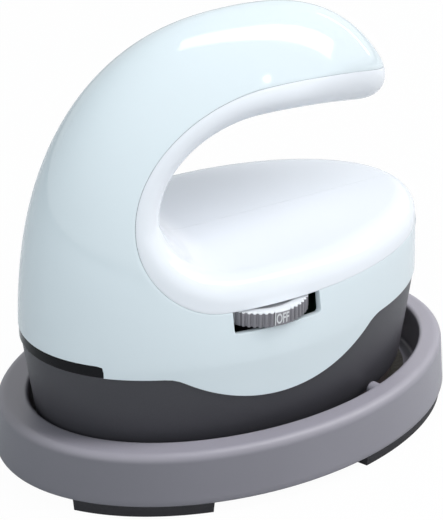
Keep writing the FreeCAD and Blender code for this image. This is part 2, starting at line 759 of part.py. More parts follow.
def grip_prism(bottom, back, top, corner, crest, fall, grow, y0, y1):
    """Prism of a grip-shaped profile, grown by grow, from y0 to y1.

    The profile runs in along the bottom, round a corner, up a quarter oval to the crest
    and out along a gently falling arc.
    """
    middle_z = bottom + corner
    corner_x = back + corner
    radius = corner + grow
    diagonal = radius * math.sqrt(0.5)
    bottom_out = V(FAR, y0, bottom - grow)
    bottom_in = V(corner_x, y0, bottom - grow)
    back_low = V(back - grow, y0, middle_z)
    crest_point = V(crest, y0, top + grow)
    half_length = crest - back + grow
    half_height = top - middle_z + grow
    long_end = V(crest + half_length, y0, middle_z)
    if half_length > half_height:
        oval = Part.Ellipse(long_end, crest_point, V(crest, y0, middle_z))
    else:
        oval = Part.Ellipse(crest_point, long_end, V(crest, y0, middle_z))
    ends = sorted((oval.parameter(back_low), oval.parameter(crest_point)))
    fall_radius = fall - grow

    def falling(x):
        sink = fall_radius - math.sqrt(fall_radius**2 - (x - crest) ** 2)
        return V(x, y0, top + grow - sink)

    last = falling(FAR)
    edges = [
        Part.LineSegment(bottom_out, bottom_in).toShape(),
        Part.Arc(
            bottom_in, V(corner_x - diagonal, y0, middle_z - diagonal), back_low
        ).toShape(),
        Part.ArcOfEllipse(oval, ends[0], ends[1]).toShape(),
        Part.Arc(crest_point, falling((crest + FAR) / 2), last).toShape(),
        Part.LineSegment(last, bottom_out).toShape(),
    ]
    return Part.Face(Part.Wire(edges)).extrude(V(0, y1 - y0, 0))


def opening_prism(grow, y0, y1):
    """The grip's opening as a cutting prism."""
    return grip_prism(
        OPENING_BOTTOM,
        OPENING_BACK,
        OPENING_TOP,
        OPENING_CORNER,
        OPENING_CREST,
        OPENING_FALL,
        grow,
        y0,
        y1,
    )


def seam_prism():
    """Everything inside the line between liner and side shells."""
    return grip_prism(
        SEAM_BOTTOM,
        SEAM_BACK,
        SEAM_TOP,
        SEAM_CORNER,
        SEAM_CREST,
        SEAM_FALL,
        0.0,
        -FAR,
        FAR,
    )


def lip_edges(shape):
    """Edges where the opening meets the body's side."""
    picked = []
    for edge in shape.Edges:
        extent = edge.BoundBox
        middle = edge.valueAt((edge.FirstParameter + edge.LastParameter) / 2)
        off_centre = middle.y > 1.0
        in_height = SEAM_BOTTOM < middle.z < SEAM_TOP
        along_side = extent.XLength + extent.ZLength > 1.0
        if off_centre and in_height and along_side:
            picked.append(edge)
    return picked


def half_body(inset):
    """The body's +Y half as a closed form, without its opening."""
    sections = [half_section(z, inset) for z in body_levels(inset)]
    return Part.makeLoft(sections, True, False)


def half_grip(inset):
    """The body's +Y half with its opening cut and its lips rounded."""
    form = half_body(inset).cut(opening_prism(inset, -FAR, FAR))
    form = form.makeFillet(LIP_ROUND - inset, lip_edges(form))
    form.fix(CLOSE, CLOSE, CLOSE)
    return form


def edge_prism(lift):
    """Everything below the shells' lower edge, raised by lift."""
    centre = V(EDGE_BULGE_X, -FAR, EDGE_BULGE + EDGE_BULGE_RADIUS + lift)

    def corner_points(level, side):
        reach = EDGE_BULGE_RADIUS + EDGE_CORNER
        drop = centre.z - (level + lift - EDGE_CORNER)
        away = math.sqrt(reach**2 - drop**2)
        small = V(centre.x + side * away, -FAR, level + lift - EDGE_CORNER)
        on_bulge = centre + (small - centre) * (EDGE_BULGE_RADIUS / reach)
        on_level = V(small.x, -FAR, level + lift)
        towards = (on_bulge + on_level) * 0.5 - small
        middle = small + towards.normalize() * EDGE_CORNER
        return on_level, middle, on_bulge

    nose_level, nose_middle, nose_bulge = corner_points(EDGE_NOSE, -1)
    heel_level, heel_middle, heel_bulge = corner_points(EDGE_HEEL, 1)
    lowest = V(EDGE_BULGE_X, -FAR, EDGE_BULGE + lift)
    nose_end = V(-FAR, -FAR, EDGE_NOSE + lift)
    heel_end = V(FAR, -FAR, EDGE_HEEL + lift)
    edges = [
        Part.LineSegment(nose_end, nose_level).toShape(),
        Part.Arc(nose_level, nose_middle, nose_bulge).toShape(),
        Part.Arc(nose_bulge, lowest, heel_bulge).toShape(),
        Part.Arc(heel_bulge, heel_middle, heel_level).toShape(),
        Part.LineSegment(heel_level, heel_end).toShape(),
        Part.LineSegment(heel_end, V(FAR, -FAR, 0)).toShape(),
        Part.LineSegment(V(FAR, -FAR, 0), V(-FAR, -FAR, 0)).toShape(),
        Part.LineSegment(V(-FAR, -FAR, 0), nose_end).toShape(),
    ]
    return Part.Face(Part.Wire(edges)).extrude(V(0, 2 * FAR, 0))


def window_block(gap):
    """Block round the nose that bounds the indicator window."""
    return box(
        -FAR,
        OPENING_BACK,
        -WINDOW_HALF_WIDTH + gap,
        WINDOW_HALF_WIDTH - gap,
        EDGE_NOSE + gap,
        WINDOW_TOP - gap,
    )


# ---------------------------------------------------------------- shells
def inlet_x(z):
    """Where the heel's face lies at height z."""
    half_length, _, x = body_section(z, 0.0)
    return x + half_length


def shell_bosses(core):
    """Two screw bosses with webs that tie them to the shell's wall."""
    bosses = []
    for side in (-1, 1):
        x = PRESS_X + side * SHELL_BOSS_X
        boss = post(x, SHELL_BOSS_Y, DECK_TOP, SHELL_BOSS_TOP, SHELL_BOSS_RADIUS)
        web = Part.makeBox(
            FAR,
            SHELL_WEB,
            SHELL_WEB_HEIGHT,
            V(0, -SHELL_WEB / 2, SHELL_BOSS_TOP - SHELL_WEB_HEIGHT),
        )
        bearing = math.degrees(math.atan2(SHELL_BOSS_Y, side * SHELL_BOSS_X))
        web.rotate(V(0, 0, 0), V(0, 0, 1), bearing)
        web.translate(V(x, SHELL_BOSS_Y, 0))
        bosses.append(boss.fuse(web.common(core)))
    return bosses


def shell_screw_holes():
    """Cutters for the screws that come up into the shells' bosses."""
    return [
        post(
            PRESS_X + side * SHELL_BOSS_X,
            SHELL_BOSS_Y,
            DECK_TOP - 1,
            DECK_TOP + SHELL_SCREW_BITE,
            SHELL_SCREW_RADIUS,
        )
        for side in (-1, 1)
    ]


def lock_bosses(core):
    """Bosses that run from the middle plane into the side wall."""
    return [
        Part.makeCylinder(LOCK_RADIUS, FAR, V(x, 0, z), V(0, 1, 0)).common(core)
        for x, z in LOCK_PLACES
    ]


def grip_liner():
    """Pale liner of the grip's opening, on the +Y side."""
    return half_grip(0.0).common(seam_prism()).cut(half_grip(SHELL_WALL))


def side_shell_blank():
    """Side shell with bosses, before the halves differ."""
    side = less(
        half_grip(0.0),
        [seam_prism(), half_grip(SHELL_WALL), edge_prism(0.0), window_block(0.0)],
    )
    core = half_body(SHELL_WALL / 2)
    side = joined([side] + shell_bosses(core) + lock_bosses(core))
    bore = Part.makeCylinder(
        INLET_RADIUS, FAR, V(OPENING_CREST, 0, INLET_Z), V(1, 0, 0)
    )
    return less(side, shell_screw_holes() + [bore])


def lock_pins():
    """Pins of the right half that enter the left half's sockets."""
    return [
        Part.makeCylinder(
            LOCK_PIN_RADIUS, 2 * LOCK_PIN_LENGTH, V(x, -LOCK_PIN_LENGTH, z), V(0, 1, 0)
        )
        for x, z in LOCK_PLACES
    ]


def side_shell_left(blank):
    """Left shell, with sockets for the pins."""
    sockets = [
        Part.makeCylinder(
            LOCK_PIN_RADIUS + LOCK_FIT, LOCK_PIN_LENGTH + 1, V(x, -1, z), V(0, 1, 0)
        )
        for x, z in LOCK_PLACES
    ]
    return less(blank, sockets)


def side_shell_right(blank):
    """Right shell, with pins and the slot that the dial stands out of."""
    slot = box(
        DIAL_X - SLOT_HALF_LENGTH,
        DIAL_X + SLOT_HALF_LENGTH,
        -FAR,
        DIAL_Y,
        SLOT_LOW,
        SEAM_BOTTOM + 1,
    )
    relief = post(DIAL_X, DIAL_Y, SLOT_LOW, SEAM_BOTTOM + 1, DIAL_RADIUS + DIAL_SIDE_GAP)
    return less(joined([mirrored(blank)] + lock_pins()), [slot, relief])


def indicator_window():
    """Smoked lens that closes the notch round the nose."""
    half = half_body(0.0).cut(half_body(SHELL_WALL)).common(window_block(WINDOW_GAP))
    return joined([half, mirrored(half)])


def skirt_size(z):
    """Half length and half width of the skirt's face at height z."""
    drop = (BODY_WAIST - z) / (BODY_WAIST - SKIRT_BOTTOM)
    return (
        BODY_HALF_LENGTH - SKIRT_INSET - SKIRT_LEAN_LENGTH * drop,
        BODY_HALF_WIDTH - SKIRT_INSET - SKIRT_LEAN_WIDTH * drop,
    )


def skirt_cone(inset, low, high):
    """Tapered oval solid, inset from the skirt's face."""
    wires = []
    for z in (low, high):
        half_length, half_width = skirt_size(z)
        wires.append(oval_wire(half_length - inset, half_width - inset, z, PRESS_X))
    return Part.makeLoft(wires, True, True)


def tongue_ring():
    """Upright ring inside the shells, clear of their wall at its top."""
    high = EDGE_HEEL + TONGUE_RISE
    half_length, half_width, x = body_section(high, SHELL_WALL + TONGUE_GAP)
    outer = oval_prism(half_length, half_width, EDGE_BULGE, high, x)
    inner = oval_prism(
        half_length - TONGUE_WALL, half_width - TONGUE_WALL, EDGE_BULGE, high, x
    )
    return outer.cut(inner)


def skirt_housing():
    """Dark skirt with its deck, board posts and tongue."""
    top = EDGE_HEEL + 1
    skin = skirt_cone(0.0, SKIRT_BOTTOM, top)
    skin = skin.makeFillet(SKIRT_ROUND, level_edges(skin, SKIRT_BOTTOM))
    hollow = skirt_cone(SKIRT_WALL, SKIRT_BOTTOM - 1, top + 1)
    wall = skin.cut(hollow).common(edge_prism(0.0))
    tongue = tongue_ring().common(edge_prism(TONGUE_RISE))
    lamp_gap = box(
        -FAR,
        LAMP_BOARD_X,
        -WINDOW_HALF_WIDTH,
        WINDOW_HALF_WIDTH,
        EDGE_NOSE,
        WINDOW_TOP + TONGUE_RISE,
    )
    deck = skirt_cone(SKIRT_WALL / 2, DECK_Z, DECK_TOP)
    deck = deck.cut(
        oval_prism(DECK_HOLE_LENGTH, DECK_HOLE_WIDTH, DECK_Z - 1, DECK_TOP + 1, PRESS_X)
    )
    posts = [
        post(x, y, DECK_TOP - 1, BOARD_Z, BOARD_POST_RADIUS)
        for x, y in corners(BOARD_POST_X, BOARD_POST_Y, PRESS_X)
    ]
    housing = joined([wall, tongue.cut(lamp_gap), deck] + posts)
    holes = [
        post(x, y, BOARD_Z - BOARD_SCREW_BITE, BOARD_Z + 1, BOARD_SCREW_RADIUS)
        for x, y in corners(BOARD_POST_X, BOARD_POST_Y, PRESS_X)
    ]
    holes += [
        post(x, y, DECK_Z - 1, DECK_TOP + 1, PLATE_SCREW_RADIUS)
        for x, y in corners(BOSS_X, BOSS_Y, PRESS_X)
    ]
    holes += [
        post(x, y, DECK_Z - 1, DECK_TOP + 1, SHELL_SCREW_RADIUS)
        for x, y in corners(SHELL_BOSS_X, SHELL_BOSS_Y, PRESS_X)
    ]
    return less(housing, holes)


def shell_screws():
    """Screws from under the deck into the shells' bosses."""
    return [
        screw(
            x,
            y,
            DECK_Z,
            SHELL_SCREW_RADIUS,
            DECK_THICKNESS + SHELL_SCREW_BITE,
            SHELL_SCREW_HEAD_RADIUS,
            SHELL_SCREW_HEAD,
        )
        for x, y in corners(SHELL_BOSS_X, SHELL_BOSS_Y, PRESS_X)
    ]


# ---------------------------------------------------------------- dial and electronics
def knurled_outline(z):
    """Toothed outline with smooth patches for the marks."""
    pitch = 360.0 / DIAL_TEETH
    teeth_per_step = DIAL_TEETH // DIAL_STEPS
    inner = DIAL_RADIUS - TOOTH_DEPTH
    points = []

    def place(radius, angle):
        turn = math.radians(angle)
        return V(DIAL_X + radius * math.cos(turn), DIAL_Y + radius * math.sin(turn), z)

    for tooth in range(DIAL_TEETH):
        start = -90 + pitch * (tooth - PATCH_TEETH / 2)
        if tooth % teeth_per_step < PATCH_TEETH:
            points.append(place(DIAL_RADIUS - TOOTH_DEPTH / 3, start))
        else:
            points.append(place(inner, start))
            points.append(place(DIAL_RADIUS, start + pitch * 0.3))
            points.append(place(DIAL_RADIUS, start + pitch * 0.7))
    return Part.makePolygon(points + [points[0]])


def dial_wheel():
    """Knurled wheel with a dished top and a bore for its shaft."""
    wheel = Part.Face(Part.Wire(knurled_outline(DIAL_LOW).Edges)).extrude(
        V(0, 0, DIAL_THICKNESS)
    )
    dish = post(
        DIAL_X, DIAL_Y, DIAL_TOP - DIAL_RECESS, DIAL_TOP + 1, DIAL_RADIUS - DIAL_RIM
    ).cut(post(DIAL_X, DIAL_Y, DIAL_LOW, DIAL_TOP + 1, DIAL_HUB_RADIUS))
    return less(wheel, [dish, post(DIAL_X, DIAL_Y, DIAL_LOW - 1, DIAL_TOP + 1, SHAFT_RADIUS)])


def dial_shaft():
    """Shaft that carries the wheel and turns in the switch."""
    return post(DIAL_X, DIAL_Y, BOARD_TOP + 1, DIAL_TOP, SHAFT_RADIUS)


def rotary_switch():
    """Switch on the board, with a collar that the shaft turns in."""
    half = SWITCH_SIDE / 2
    case = box(DIAL_X - half, DIAL_X + half, DIAL_Y - half, DIAL_Y + half, BOARD_TOP, SWITCH_TOP)
    collar = post(DIAL_X, DIAL_Y, SWITCH_TOP - 1, SWITCH_TOP + COLLAR_HEIGHT, COLLAR_RADIUS)
    bore = post(
        DIAL_X, DIAL_Y, BOARD_TOP + 1, SWITCH_TOP + COLLAR_HEIGHT + 1, SHAFT_RADIUS + SHAFT_FIT
    )
    return joined([case, collar]).cut(bore)


def board_blank():
    """Board trimmed to the shell's inside."""
    sheet = box(
        PRESS_X - BOARD_HALF_LENGTH,
        PRESS_X + BOARD_HALF_LENGTH,
        -BOARD_HALF_WIDTH,
        BOARD_HALF_WIDTH,
        BOARD_Z,
        BOARD_TOP,
    )
    inset = SHELL_WALL + TONGUE_GAP + TONGUE_WALL + BOARD_EDGE_GAP
    half_length, half_width, x = body_section(BOARD_TOP, inset)
    return sheet.common(oval_prism(half_length, half_width, BOARD_Z - 1, BOARD_TOP + 1, x))


def control_board():
    """Control board with holes for its screws."""
    holes = [
        post(x, y, BOARD_Z - 1, BOARD_TOP + 1, BOARD_SCREW_RADIUS)
        for x, y in corners(BOARD_POST_X, BOARD_POST_Y, PRESS_X)
    ]
    return less(board_blank(), holes)


def board_parts():
    """Triac on its tab and two capacitors, standing on the board."""
    length, width, height = TRIAC_SIZE
    row_y = BOARD_HALF_WIDTH / 3
    triac = box(PRESS_X, PRESS_X + length, row_y, row_y + width, BOARD_TOP, BOARD_TOP + height)
    pitch = 2 * CAPACITOR_RADIUS + CAPACITOR_GAP
    cans = [
        post(
            PRESS_X - index * pitch,
            row_y,
            BOARD_TOP,
            BOARD_TOP + CAPACITOR_HEIGHT,
            CAPACITOR_RADIUS,
        )
        for index in (1, 2)
    ]
    return [triac] + cans


def board_screws():
    """Screws through the board into the deck's posts."""
    return [
        screw(
            x,
            y,
            BOARD_TOP,
            BOARD_SCREW_RADIUS,
            BOARD_THICKNESS + BOARD_SCREW_BITE,
            BOARD_SCREW_HEAD_RADIUS,
            BOARD_SCREW_HEAD,
            -1,
        )
        for x, y in corners(BOARD_POST_X, BOARD_POST_Y, PRESS_X)
    ]


def lamp_board():
    """Small upright board behind the indicator window."""
    return box(
        LAMP_BOARD_X,
        LAMP_BOARD_X + LAMP_BOARD_THICKNESS,
        -LAMP_BOARD_HALF_WIDTH,
        LAMP_BOARD_HALF_WIDTH,
        DECK_TOP,
        LAMP_BOARD_TOP,
    )


def indicator_lamps():
    """Lamps on the small board, level with the window."""
    middle_z = (EDGE_NOSE + WINDOW_TOP) / 2
    first = -LAMP_PITCH * (LAMP_COUNT - 1) / 2
    return [
        Part.makeCylinder(
            LAMP_RADIUS,
            LAMP_LENGTH,
            V(LAMP_BOARD_X, first + LAMP_PITCH * index, middle_z),
            V(-1, 0, 0),
        )
        for index in range(LAMP_COUNT)
    ]


def terminal_block():
    """Terminal block on the deck, by the heel."""
    length, width, height = TERMINAL_SIZE
    block = box(
        TERMINAL_X - length / 2,
        TERMINAL_X + length / 2,
        -width / 2,
        width / 2,
        DECK_TOP,
        DECK_TOP + height,
    )
    wells = [
        post(TERMINAL_X, side * LEAD_HALF_GAP, DECK_TOP + height / 2, DECK_TOP + height + 1, 1.6)
        for side in (-1, 1)
    ]
    return less(block, wells)


def cord_inlet():
    """Bushing in the heel that the mains cord enters by."""
    face = inlet_x(INLET_Z)
    start = V(face - INLET_LENGTH, 0, INLET_Z)
    body = Part.makeCylinder(INLET_RADIUS, INLET_LENGTH, start, V(1, 0, 0))
    flange = Part.makeCylinder(
        INLET_RADIUS + INLET_FLANGE,
        2 * INLET_FLANGE_THICKNESS,
        V(face - INLET_FLANGE_THICKNESS, 0, INLET_Z),
        V(1, 0, 0),
    )
    shell_side = half_body(0.0)
    flange = less(flange, [shell_side, mirrored(shell_side)])
    bore = Part.makeCylinder(INLET_BORE, 2 * INLET_LENGTH, start, V(1, 0, 0))
    return joined([body, flange]).cut(bore)


def mains_leads():
    """Two leads from the inlet down to the terminal block."""
    start_x = inlet_x(INLET_Z) - INLET_LENGTH
    bore_offset = INLET_BORE - LEAD_RADIUS - 0.5
    leads = []
    for side in (-1, 1):
        points = [
            V(start_x, side * bore_offset, INLET_Z),
            V(TERMINAL_X, side * LEAD_HALF_GAP, INLET_Z),
            V(TERMINAL_X, side * LEAD_HALF_GAP, DECK_TOP + TERMINAL_SIZE[2] / 2),
        ]
        leads.append(bent_wire(points, LEAD_BEND, LEAD_RADIUS))
    return leads


def element_leads():
    """Two leads from the element's pins up to the board's underside."""
    heel, gap = element_path()
    pin_top = ELEMENT_Z + ELEMENT_RADIUS + ELEMENT_PIN_RISE
    level = (pin_top + BOARD_Z) / 2
    leads = []
    for side in (-1, 1):
        start = V(heel - ELEMENT_RADIUS, side * gap, pin_top)
        points = [
            start,
            V(start.x, start.y, level),
            V(start.x - 3 * LEAD_BEND, start.y / 2, level),
            V(start.x - 3 * LEAD_BEND, start.y / 2, BOARD_Z),
        ]
        leads.append(bent_wire(points, LEAD_BEND / 3, LEAD_RADIUS))
    return leads


# ---------------------------------------------------------------- output
def save(name, shapes):
    """Write one solid, or a group of separate solids, under its node's name."""
    solids = shapes if isinstance(shapes, list) else [shapes]
    flat = [solid for shape in solids for solid in shape.Solids]
    result = flat[0] if len(flat) == 1 else Part.makeCompound(flat)
    result.exportStep("parts/" + name + ".step")
    print(name, len(flat), round(sum(s.Volume for s in flat), 1), result.isValid())


def save_tray():
    """Pieces that stay on the table."""
    save("base_tray", base_tray())
    save("base_mat", base_mat())
    save("rest_posts", rest_posts())
    for name, first, last in foot_spans():
        save(name, foot(first, last))
    save("foot_screws", foot_screws())


def save_hot_end():
    """Plate, element and what insulates them."""
    save("heat_plate", heat_plate())
    save("heating_element", heating_element())
    save("element_clamp", element_clamp())
    save("clamp_screws", clamp_screws())
    save("thermostat", thermostat())
    save("thermal_fuse", thermal_fuse())
    save("insulation_pad", insulation_pad())
    save("insulating_spacers", insulating_spacers())
    save("plate_screws", plate_screws())
    save("heat_shield", heat_shield())


def save_casing():
    """Skirt, shells, liners and window."""
    blank = side_shell_blank()
    liner = grip_liner()
    save("skirt_housing", skirt_housing())
    save("side_shell_left", side_shell_left(blank))
    save("side_shell_right", side_shell_right(blank))
    save("grip_liner_left", liner)
    save("grip_liner_right", mirrored(liner))
    save("shell_screws", shell_screws())
    save("indicator_window", indicator_window())
    save("cord_inlet", cord_inlet())


def save_works():
    """Dial, switch, boards, lamps and leads."""
    save("dial_wheel", dial_wheel())
    save("dial_shaft", dial_shaft())
    save("rotary_switch", rotary_switch())
    save("control_board", control_board())
    save("board_parts", board_parts())
    save("board_screws", board_screws())
    save("lamp_board", lamp_board())
    save("indicator_lamps", indicator_lamps())
    save("terminal_block", terminal_block())
    save("mains_leads", mains_leads())
    save("element_leads", element_leads())


save_tray()
save_hot_end()
save_casing()
save_works()
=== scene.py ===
import json
import logging
import math
from contextlib import contextmanager
from dataclasses import dataclass, replace
from enum import Enum
from typing import Callable, Iterator, Sequence

import bmesh
import bpy
import numpy as np
from mathutils import Matrix, Vector

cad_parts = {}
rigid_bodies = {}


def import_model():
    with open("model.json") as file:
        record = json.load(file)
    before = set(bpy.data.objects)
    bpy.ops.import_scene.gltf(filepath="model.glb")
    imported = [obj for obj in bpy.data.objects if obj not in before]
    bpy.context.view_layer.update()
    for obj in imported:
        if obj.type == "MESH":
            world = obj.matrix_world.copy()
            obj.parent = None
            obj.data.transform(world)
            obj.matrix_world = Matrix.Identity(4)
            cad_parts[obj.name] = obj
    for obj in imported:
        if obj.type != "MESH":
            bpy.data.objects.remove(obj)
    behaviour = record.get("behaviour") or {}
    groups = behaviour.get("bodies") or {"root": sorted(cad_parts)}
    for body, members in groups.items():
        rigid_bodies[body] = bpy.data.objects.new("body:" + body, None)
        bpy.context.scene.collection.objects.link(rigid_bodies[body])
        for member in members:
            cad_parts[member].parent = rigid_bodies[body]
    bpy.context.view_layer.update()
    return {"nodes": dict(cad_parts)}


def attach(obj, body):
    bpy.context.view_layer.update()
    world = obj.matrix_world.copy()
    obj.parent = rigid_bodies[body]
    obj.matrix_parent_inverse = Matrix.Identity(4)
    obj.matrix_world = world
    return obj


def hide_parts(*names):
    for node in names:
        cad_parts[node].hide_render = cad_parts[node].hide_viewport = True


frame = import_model()

log = logging.getLogger("heat_press")
logging.basicConfig(level=logging.INFO, format="%(name)s: %(message)s")

MM = 0.001
NOISE_SPAN = (0.3, 0.7)          # where most of a noise's values lie
Triple = tuple[float, float, float]
Colour = Triple
Piece = bpy.types.Object
Socket = bpy.types.NodeSocket
Rows = np.ndarray


def linear(*seen: int) -> Colour:
    """Turns red, green and blue of 0 to 255 into the shader's linear values."""
    return tuple(
        v / 255 / 12.92 if v <= 10 else ((v / 255 + 0.055) / 1.055) ** 2.4 for v in seen
    )


def shaded(colour: Colour, share: float) -> Colour:
    """The colour made lighter, or darker if share is below 1."""
    return tuple(min(1.0, c * share) for c in colour)


# ---------- finishes
@dataclass
class NodeSheet:
    """One node tree, laid out as its nodes are added."""

    tree: bpy.types.NodeTree
    column: int = 0

    def add(self, kind: str, *values: object, **named: object) -> bpy.types.Node:
        """Adds a node and sets it up.

        Args:
            kind: the node's type, without its ShaderNode prefix.
            values: what its first sockets get, in order.
            named: settings in small letters and sockets with a capital, _ for a space.

        Returns:
            The new node.
        """
        node = self.tree.nodes.new("ShaderNode" + kind)
        self.column += 1
        node.location = (180 * self.column, -60 * (self.column % 5))
        for name, value in named.items():
            if name.islower():
                setattr(node, name, value)
            else:
                self.put(node.inputs[name.replace("_", " ")], value)
        for socket, value in zip(node.inputs, values):
            self.put(socket, value)
        return node

    def put(self, socket: Socket, value: object) -> None:
        """Links a socket to another or to a node's first output, or sets its value.

        Args:
            socket: the socket that gets it.
            value: a socket, a node, a number, or three numbers.
        """
        if isinstance(value, bpy.types.Node):
            value = value.outputs[0]
        if isinstance(value, Socket):
            self.tree.links.new(value, socket)
        elif socket.type == "RGBA":
            socket.default_value = (*value, 1.0)
        else:
            socket.default_value = value

    def place(self) -> Socket:
        """The piece's own coordinates, in metres."""
        return self.add("TexCoord").outputs["Object"]

    def noise(self, place: object, size: float, detail: float) -> bpy.types.Node:
        """Noise about 0.5 at a place, with clouds of a size in millimetres and finer layers."""
        return self.add("TexNoise", Vector=place, Scale=1 / (size * MM), Detail=detail)

    def between(self, fac: object, low: Colour, high: Colour) -> bpy.types.Node:
        """Colour that runs between two.

        Args:
            fac: where it runs, over a noise's span.
            low: colour at the span's start.
            high: colour at its end.

        Returns:
            The ramp.
        """
        node = self.add("ValToRGB", fac)
        for stop, place, colour in zip(node.color_ramp.elements, NOISE_SPAN, (low, high)):
            stop.position = place
            stop.color = (*colour, 1.0)
        return node

    def spread(
        self, fac: object, low: float, high: float, span: tuple[float, float] = NOISE_SPAN
    ) -> bpy.types.Node:
        """Value that runs from low to high as fac crosses a span."""
        return self.add("MapRange", fac, *span, low, high)

    def mix(self, share: object, first: object, second: object, way: str = "MIX") -> Socket:
        """Lays one colour over another.

        Args:
            share: how much of the second one shows.
            first: the colour below.
            second: the colour above.
            way: how the two blend.

        Returns:
            The mixed colour.
        """
        node = self.add("Mix", share, data_type="RGBA", blend_type=way)
        for socket, colour in zip(node.inputs[6:8], (first, second)):
            self.put(socket, colour)
        return node.outputs[2]

    def bump(self, height: object, depth: float, **below: object) -> bpy.types.Node:
        """Bump of a depth in millimetres, over another one given as Normal."""
        return self.add("Bump", Height=height, Strength=1.0, Distance=depth * MM, **below)

    def seen(self, share: float, gloss: bool = True) -> bpy.types.Node:
        """Tells the eye's rays from the rest.

        Args:
            share: value for rays of the eye and through glass. The others get 0.
            gloss: whether mirrored rays get it too.

        Returns:
            The node with that value.
        """
        path = self.add("LightPath").outputs
        last = path["Is Camera Ray"]
        for ray in ["Is Transmission Ray"] + ["Is Glossy Ray"] * gloss:
            last = self.add("Math", last, path[ray], operation="MAXIMUM")
        return self.add("Math", last, share, operation="MULTIPLY")


@dataclass(frozen=True)
class Finish:
    """A finish of its own name and colour (0 to 255), which its kinds carry out."""

    name: str
    colour: tuple[int, int, int]
    roughness: float = 0.4

    def material(self) -> bpy.types.Material:
        """Makes the finish's material the first time it is asked for.

        Returns:
            The material.
        """
        made = bpy.data.materials.get(self.name + "_finish")
        if made is None:
            made = bpy.data.materials.new(self.name + "_finish")
            made.use_nodes = True
            made.diffuse_color = (*linear(*self.colour), 1.0)
            sheet = NodeSheet(made.node_tree)
            shader = made.node_tree.nodes["Principled BSDF"]
            for name, value in self.sockets(sheet).items():
                sheet.put(shader.inputs[name], value)
        return made

    def sockets(self, sheet: NodeSheet) -> dict[str, object]:
        """What the shader's sockets get, by name. Each kind of finish says it."""
        raise NotImplementedError

    def tone(self, sheet: NodeSheet, fac: object, low: float, high: float) -> bpy.types.Node:
        """The finish's colour, low to high times as light where fac is low or high."""
        colour = linear(*self.colour)
        return sheet.between(fac, shaded(colour, low), shaded(colour, high))

    def polish(self, sheet: NodeSheet, fac: object, low: float, high: float) -> bpy.types.Node:
        """The finish's roughness, low to high times as rough where fac is low or high."""
        return sheet.spread(fac, self.roughness * low, self.roughness * high)


@dataclass(frozen=True)
class MouldedPlastic(Finish):
    """Moulded plastic: a faint flow in its colour, and a grain from its mould."""

    grain: float = 0.35          # width of one grain, millimetres
    grain_depth: float = 0.004   # millimetres
    flow: float = 0.015          # share by which the colour drifts
    flow_size: float = 24.0      # millimetres
    speck: float = 0.0           # share by which single grains differ
    gloss: float = 0.5
    ripple: float = 0.0          # long unevenness of a moulded face, millimetres
    ripple_size: float = 11.0
    painted_top_light: tuple[int, int, int] | None = None    # painted highlight, if any: the lighter colour that the top face gets above a given height
    painted_top_light_z: float = 0.0           # millimetres
    painted_top_light_blur: float = 0.03

    def sockets(self, sheet: NodeSheet) -> dict[str, object]:
        """Drift, specks, a painted highlight on the top face, grain and gloss.

        Args:
            sheet: where their nodes are laid out.

        Returns:
            What each socket gets.
        """
        place = sheet.place()
        fine = sheet.noise(place, self.grain, 3.0)
        wide = sheet.noise(place, self.flow_size, 1.0)
        colour = self.tone(sheet, wide, 1 - self.flow, 1 + self.flow)
        if self.speck:
            specks = sheet.between(fine, (1 - self.speck,) * 3, (1 + self.speck,) * 3)
            colour = sheet.mix(1.0, colour, specks, "MULTIPLY")
        # Painted highlight: above a given height the colour turns lighter, standing for the light
        # that falls on a top face.
        if self.painted_top_light:
            height = sheet.add("SeparateXYZ", place).outputs["Z"]
            span = ((self.painted_top_light_z - self.painted_top_light_blur) * MM, (self.painted_top_light_z + self.painted_top_light_blur) * MM)
            colour = sheet.mix(sheet.spread(height, 0.0, 1.0, span), colour, linear(*self.painted_top_light))
        normal = sheet.bump(fine, self.grain_depth)
        if self.ripple:
            waves = sheet.noise(place, self.ripple_size, 0.0)
            normal = sheet.bump(waves, self.ripple, Normal=normal)
        return {
            "Base Color": colour,
            "Roughness": self.polish(sheet, fine, 0.9, 1.1),
            "Normal": normal,
            "Specular IOR Level": self.gloss,
        }


@dataclass(frozen=True)
class Metal(Finish):
    """Metal with drawn or turned lines along one direction."""

    line: Triple = (1.0, 1.0, 1.0)     # how much shorter a line is along X, Y, Z
    grain: float = 0.3
    grain_depth: float = 0.002
    metallic: float = 1.0
    tint: float = 0.08           # share by which the lines differ

    def sockets(self, sheet: NodeSheet) -> dict[str, object]:
        """Drawn lines in colour, roughness and bump.

        Args:
            sheet: where their nodes are laid out.

        Returns:
            What each socket gets.
        """
        turned = sheet.add("Mapping", Vector=sheet.place(), Scale=self.line)
        lines = sheet.noise(turned, self.grain, 4.0)
        return {
            "Base Color": self.tone(sheet, lines, 1 - self.tint, 1 + self.tint),
            "Roughness": self.polish(sheet, lines, 0.8, 1.2),
            "Normal": sheet.bump(lines, self.grain_depth),
            "Metallic": self.metallic,
        }


@dataclass(frozen=True)
class SmokedLens(Finish):
    """Dark polished lens with a faint haze."""

    haze: float = 1.6            # width of one cloud, millimetres
    gloss: float = 0.5
    index: float = 1.49

    def sockets(self, sheet: NodeSheet) -> dict[str, object]:
        """Haze in colour and roughness.

        Args:
            sheet: where their nodes are laid out.

        Returns:
            What each socket gets.
        """
        haze = sheet.noise(sheet.place(), self.haze, 3.0)
        return {
            "Base Color": self.tone(sheet, haze, 0.85, 1.15),
            "Roughness": self.polish(sheet, haze, 0.8, 1.3),
            "Specular IOR Level": self.gloss,
            "IOR": self.index,
        }


